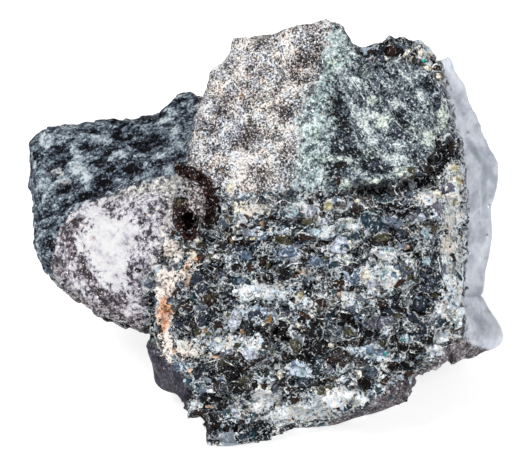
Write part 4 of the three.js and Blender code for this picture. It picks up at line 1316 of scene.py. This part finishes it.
def view_ray(eye, right, down):
    """The direction of the line of sight to a place in the front view."""
    rise = VIEW_RISE - (down - CENTRE[1]) * VIEW_STEP
    aim = show_to_model((right - CENTRE[0]) * VIEW_STEP, 0, rise) * MM
    return (aim - eye).normalized()


def shaken_path(places, spacing, dice):
    """Places a few steps apart along a line through all the given ones, shaken a little."""
    path = []
    for start, end in zip(places, places[1:]):
        gap = math.dist(start, end)
        for part in np.arange(0, 1, spacing / gap):
            place = [a + (b - a) * part for a, b in zip(start, end)]
            path.append([value + dice.uniform(-THREAD_SHAKE, THREAD_SHAKE) for value in place])
    path.append(list(places[-1]))
    return path


def outlines(dice):
    """Two pale arcs round each of the larger dark single grains."""
    arcs = []
    for kind in OUTLINED_KINDS:
        for right, down, length, width, turn in SINGLE_GRAINS[kind][1]:
            if length < SMALLEST_OUTLINED:
                continue
            cos, sin = math.cos(math.radians(turn)), math.sin(math.radians(turn))
            for _ in range(2):
                start = dice.uniform(0, FULL_TURN)
                reach = dice.uniform(*ARC_REACH)
                arc = []
                for angle in np.arange(start, start + dice.uniform(*ARC_SPAN), ARC_STEP):
                    along = length * reach * math.cos(angle)
                    across = width * reach * math.sin(angle)
                    arc.append((right + along * cos - across * sin, down + along * sin + across * cos))
                arcs.append(arc)
    return arcs


def add_thread(shape, spots, side, out, dice):
    """Adds a closed four-sided thread of uneven thickness, pointed at both ends."""
    rings = []
    for index, spot in enumerate(spots[1:-1]):
        taper = min(1.0, 0.4 + 0.3 * index, 0.4 + 0.3 * (len(spots) - 3 - index))
        reach = dice.uniform(*THREAD_REACH) * taper * MM
        rings.append([shape.verts.new(spot + offset * reach) for offset in (side, out, -side, -out)])
    tips = [shape.verts.new(spots[0]), shape.verts.new(spots[-1])]
    for ring, following in zip(rings, rings[1:]):
        for turn in range(4):
            beside = (turn + 1) % 4
            shape.faces.new((ring[turn], ring[beside], following[beside], following[turn]))
    for tip, ring in zip(tips, (rings[0], rings[-1])):
        for turn in range(4):
            shape.faces.new((tip, ring[turn], ring[(turn + 1) % 4]))


def thread_mesh():
    """The pale threads, laid where their lines of sight meet the stone."""
    ground, eye = stone_from_the_front()
    dice = np.random.default_rng(29)
    shape = bmesh.new()
    for places in THREADS + outlines(dice):
        spots = []
        for right, down in shaken_path(places, THREAD_SPACING, dice):
            spot, normal, _, _ = ground.ray_cast(eye, view_ray(eye, right, down))
            if spot is not None:
                spots.append(spot + (normal + TOWARDS) * THREAD_LIFT * MM)
        if len(spots) < 4:
            continue
        side = (spots[-1] - spots[0]).cross(TOWARDS).normalized()
        add_thread(shape, spots, side, TOWARDS, dice)
    return closed_mesh("pale_threads", shape)


def grain_material(name, palette, clean, roughness, gloss=0.4):
    """Grains of one colour each, mottled, with painted highlights and with pale dust on them, less of the
    dust the higher clean is.
    """
    g = Shade(name)
    fine = g.noise(3.4, 2.0, 0.6)
    colour = g.pick(g.attribute("tint"), palette)
    tone = g.noise(1.6, 3.0, 0.7, 30.0)
    # Darker patches of the grain's own tone, then a lighter copy of its colour as painted highlights
    colour = g.tint(tone.under(0.38, 0.5) * 0.9, colour, (0.35, 0.35, 0.37))
    colour = g.mix(tone.over(0.48, 0.64) * 0.8, colour, g.vector("MULTIPLY", colour, (2.1, 2.1, 2.1)))
    thread = g.noise(0.7, 2.0, 0.5, 37.0).thread(0.02) * tone.over(0.48, 0.56)
    specks = fine.over(clean, clean + 0.04).most(thread)
    colour = g.mix(specks * 0.85, colour, g.mix(tone.over(0.4, 0.55), (150, 166, 174), (240, 244, 246)))
    dusty = g.between(specks, roughness, 0.6)
    bump = g.bump(tone + fine * 0.4, 0.3)
    return g.finish(g.surface(colour, dusty, bump, Specular_IOR_Level=gloss))


def tint_property(name, part):
    """A colour setting that multiplies the colour of a part of the stone."""
    return bpy.props.FloatVectorProperty(
        name=name, description=f"Colour that the {part} is multiplied by", default=(1.0, 1.0, 1.0),
        subtype="COLOR")


# Studio

WHITE = (1.0, 1.0, 1.0, 1.0)
FLOOR_REACH = 3.0  # half the floor's width, in metres
LAMP_AIM = Vector((0, 0, 0.03))
SENSOR_WIDTH = 36  # in the camera's own millimetres


def add_floor():
    """A plain pale floor, with a glow that keeps it near white."""
    mesh = bpy.data.meshes.new("floor")
    corners = [(x * FLOOR_REACH, y * FLOOR_REACH, 0) for x, y in ((-1, -1), (1, -1), (1, 1), (-1, 1))]
    mesh.from_pydata(corners, [], [(0, 1, 2, 3)])
    g = Shade("floor_paint")
    tone = g.mix(g.noise(0.02), (190, 190, 190), (194, 194, 194))
    paper = g.bump(g.noise(1.0), 0.02, 0.1)
    mesh.materials.append(g.finish(g.surface(
        tone, 0.9, paper, Specular_IOR_Level=0.1, Emission_Color=WHITE, Emission_Strength=0.78)))
    linked("floor", mesh)


def add_backdrop(scene):
    """An even white glow from all round."""
    world = bpy.data.worlds.new("studio")
    scene.world = world
    world.use_nodes = True
    backdrop = world.node_tree.nodes["Background"]
    backdrop.inputs["Color"].default_value = WHITE
    backdrop.inputs["Strength"].default_value = 0.3


def add_lamp(name, place, size, power):
    """A soft square lamp, aimed at the stone."""
    data = bpy.data.lights.new(name, "AREA")
    data.shape = "SQUARE"
    data.size = size
    data.energy = power
    lamp = linked(name, data)
    lamp.location = place
    lamp.rotation_euler = (LAMP_AIM - Vector(place)).to_track_quat("-Z", "Y").to_euler()


def add_camera(scene):
    """The camera that sees the front view."""
    data = bpy.data.cameras.new("camera")
    data.sensor_width = SENSOR_WIDTH
    data.lens = SENSOR_WIDTH * VIEW_DISTANCE / (VIEW_SIZE[0] * VIEW_STEP)
    data.clip_start = 0.05
    camera = linked("camera", data)
    camera.location = (show_to_model(0, 0, VIEW_RISE) + TOWARDS * VIEW_DISTANCE) * MM
    camera.rotation_euler = (-TOWARDS).to_track_quat("-Z", "Y").to_euler()
    scene.camera = camera
    scene.view_settings.view_transform = "Standard"


# Settings, steps and panel

class OreSettings(bpy.types.PropertyGroup):
    """How the specimen is made and lit"""

    mesh_step: bpy.props.FloatProperty(
        name="Mesh step", description="Size of the surface's mesh", default=0.46 * MM, unit="LENGTH")
    soften: bpy.props.IntProperty(
        name="Soften", description="Rounds of smoothing before the relief", default=4)
    relief: bpy.props.FloatProperty(
        name="Relief", description="Strength of the broken relief", default=1.0, subtype="FACTOR")
    ore_tint: tint_property("Ore tint", "dark ore")
    crown_tint: tint_property("Crown tint", "pale crown")
    slab_tint: tint_property("Slab tint", "grey slab")
    key_power: bpy.props.FloatProperty(
        name="Key light", description="Power of the main lamp", default=15.0, unit="POWER")
    fill_power: bpy.props.FloatProperty(
        name="Fill light", description="Power of the lamp that softens shadows", default=5.0, unit="POWER")


class ORE_OT_stone(bpy.types.Operator):
    """Make the stone's surface with its zones of rock and ore"""

    bl_idname = "ore.stone"
    bl_label = "Stone"

    def execute(self, context):
        settings = context.scene.ore_settings
        mesh = stone_mesh(settings)
        piece = placed("stone", mesh, stone_material(settings))
        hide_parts("zinc_ore")
        for polygon in mesh.polygons:
            polygon.use_smooth = True
        return {"FINISHED"}


class ORE_OT_single_grains(bpy.types.Operator):
    """Set the larger grains and crystals of the show face one by one"""

    bl_idname = "ore.single_grains"
    bl_label = "Single grains"

    def execute(self, context):
        palette = [(1, colour) for colour, _ in SINGLE_GRAINS.values()]
        paint = grain_material("crystal_grain", palette, clean=0.68, roughness=0.25, gloss=0.1)
        placed("single_grains", single_grains(), paint)
        return {"FINISHED"}


class ORE_OT_threads(bpy.types.Operator):
    """Lay pale threads across the show face and round its larger dark grains"""

    bl_idname = "ore.threads"
    bl_label = "Pale threads"

    def execute(self, context):
        g = Shade("pale_thread")
        tone = g.noise(1.2, 3.0, 0.7, 80.0)
        colour = g.ramp(tone, (0.44, (34, 38, 42)), (0.50, (138, 152, 160)), (0.57, (250, 250, 248)))
        paint = g.finish(g.surface(colour, 0.6, g.bump(tone, 0.1), Specular_IOR_Level=0.2))
        placed("pale_threads", thread_mesh(), paint)
        return {"FINISHED"}


class ORE_OT_dark_grains(bpy.types.Operator):
    """Set dark angular grains in the ore face"""

    bl_idname = "ore.dark_grains"
    bl_label = "Dark grains"

    def execute(self, context):
        paint = grain_material("dark_grain", [
            (24, (11, 9, 10)), (16, (34, 25, 22)), (14, (28, 33, 41)), (10, (40, 52, 58)),
            (6, (60, 56, 40)), (6, (70, 80, 92)), (3, (124, 134, 148)),
        ], clean=0.63, roughness=0.28, gloss=0.1)
        kit = shape_kit("dark_shape", (1.0, 0.85, 0.7), corners=11, kinds=8, seed=100)
        scattered("dark_grains", paint, "crystal", kit, Zone="zone_sow_dark", Density=0.5, Spacing=0.8,
                  Smallest=0.3, Largest=1.1, Sink=0.6, Tilt=0.5, Seed=3)
        return {"FINISHED"}


class ORE_OT_pale_grains(bpy.types.Operator):
    """Set small pale grains between the dark ones"""

    bl_idname = "ore.pale_grains"
    bl_label = "Pale grains"

    def execute(self, context):
        paint = grain_material("pale_grain", [
            (20, (206, 216, 222)), (14, (160, 178, 186)), (14, (240, 243, 244)), (8, (106, 122, 132)),
            (4, (200, 190, 170)), (10, (48, 56, 64)), (10, (16, 15, 16)), (1, (170, 130, 90)),
        ], clean=0.72, roughness=0.45)
        kit = shape_kit("pale_shape", (1.0, 0.8, 0.7), corners=8, kinds=6, seed=200)
        scattered("pale_grains", paint, "pale_rock", kit, Zone="zone_sow_pale", Density=1.6, Spacing=0.3,
                  Smallest=0.1, Largest=0.42, Sink=0.35, Tilt=1.0, Seed=5)
        return {"FINISHED"}


class ORE_OT_sugar(bpy.types.Operator):
    """Set sugar-fine grains on the crown and the white lobe"""

    bl_idname = "ore.sugar"
    bl_label = "Sugar grains"

    def execute(self, context):
        paint = grain_material("sugar_grain", [
            (18, (204, 202, 201)), (12, (176, 168, 164)), (12, (150, 148, 152)), (10, (232, 231, 230)),
            (12, (112, 107, 110)), (8, (62, 56, 58)), (5, (86, 90, 102)), (1, (180, 140, 96)),
        ], clean=0.8, roughness=0.6, gloss=0.25)
        kit = shape_kit("sugar_shape", (1.0, 0.9, 0.8), corners=7, kinds=5, seed=400)
        scattered("sugar_grains", paint, "pale_rock", kit, Zone="zone_sow_sugar", Density=6.0, Spacing=0.25,
                  Smallest=0.1, Largest=0.3, Sink=0.35, Tilt=1.0, Seed=11)
        return {"FINISHED"}


class ORE_OT_flakes(bpy.types.Operator):
    """Set thin glittering flakes in the ore face"""

    bl_idname = "ore.flakes"
    bl_label = "Flakes"

    def execute(self, context):
        paint = grain_material("flake", [
            (18, (20, 23, 28)), (12, (56, 70, 80)), (8, (98, 114, 126)), (8, (176, 188, 194)),
            (10, (36, 28, 25)),
        ], clean=0.63, roughness=0.2, gloss=0.15)
        kit = shape_kit("flake_shape", (1.0, 0.7, 0.14), corners=9, kinds=6, seed=300)
        scattered("flakes", paint, "crystal", kit, Zone="zone_sow_flake", Density=0.4, Spacing=0.7,
                  Smallest=0.25, Largest=0.9, Sink=0.0, Tilt=0.5, Seed=8)
        return {"FINISHED"}


class ORE_OT_studio(bpy.types.Operator):
    """Make the floor, the lights, the world and the camera"""

    bl_idname = "ore.studio"
    bl_label = "Studio"

    def execute(self, context):
        settings = context.scene.ore_settings
        add_floor()
        add_backdrop(context.scene)
        add_lamp("key", place=(-0.55, -0.6, 1.05), size=0.5, power=settings.key_power)
        add_lamp("fill", place=(0.9, -0.6, 0.7), size=0.6, power=settings.fill_power)
        add_camera(context.scene)
        return {"FINISHED"}


class ORE_PT_panel(bpy.types.Panel):
    """Steps of the zinc ore specimen"""

    bl_idname = "ORE_PT_panel"
    bl_label = "Zinc ore"
    bl_space_type = "VIEW_3D"
    bl_region_type = "UI"
    bl_category = "Zinc ore"

    def draw(self, context):
        layout = self.layout
        for name in OreSettings.__annotations__:
            layout.prop(context.scene.ore_settings, name)
        for operator in OPERATORS:
            layout.operator(operator.bl_idname)


OPERATORS = (ORE_OT_stone, ORE_OT_single_grains, ORE_OT_threads, ORE_OT_dark_grains, ORE_OT_pale_grains,
             ORE_OT_sugar, ORE_OT_flakes, ORE_OT_studio)
CLASSES = (OreSettings, *OPERATORS, ORE_PT_panel)


def register():
    for cls in CLASSES:
        bpy.utils.register_class(cls)
    bpy.types.Scene.ore_settings = bpy.props.PointerProperty(type=OreSettings)


def unregister():
    del bpy.types.Scene.ore_settings
    for cls in reversed(CLASSES):
        bpy.utils.unregister_class(cls)


def main():
    register()
    bpy.ops.ore.stone()
    bpy.ops.ore.single_grains()
    bpy.ops.ore.threads()
    bpy.ops.ore.dark_grains()
    bpy.ops.ore.pale_grains()
    bpy.ops.ore.sugar()
    bpy.ops.ore.flakes()
    bpy.ops.ore.studio()
    bpy.context.view_layer.update()


if __name__ == "__main__":
    main()
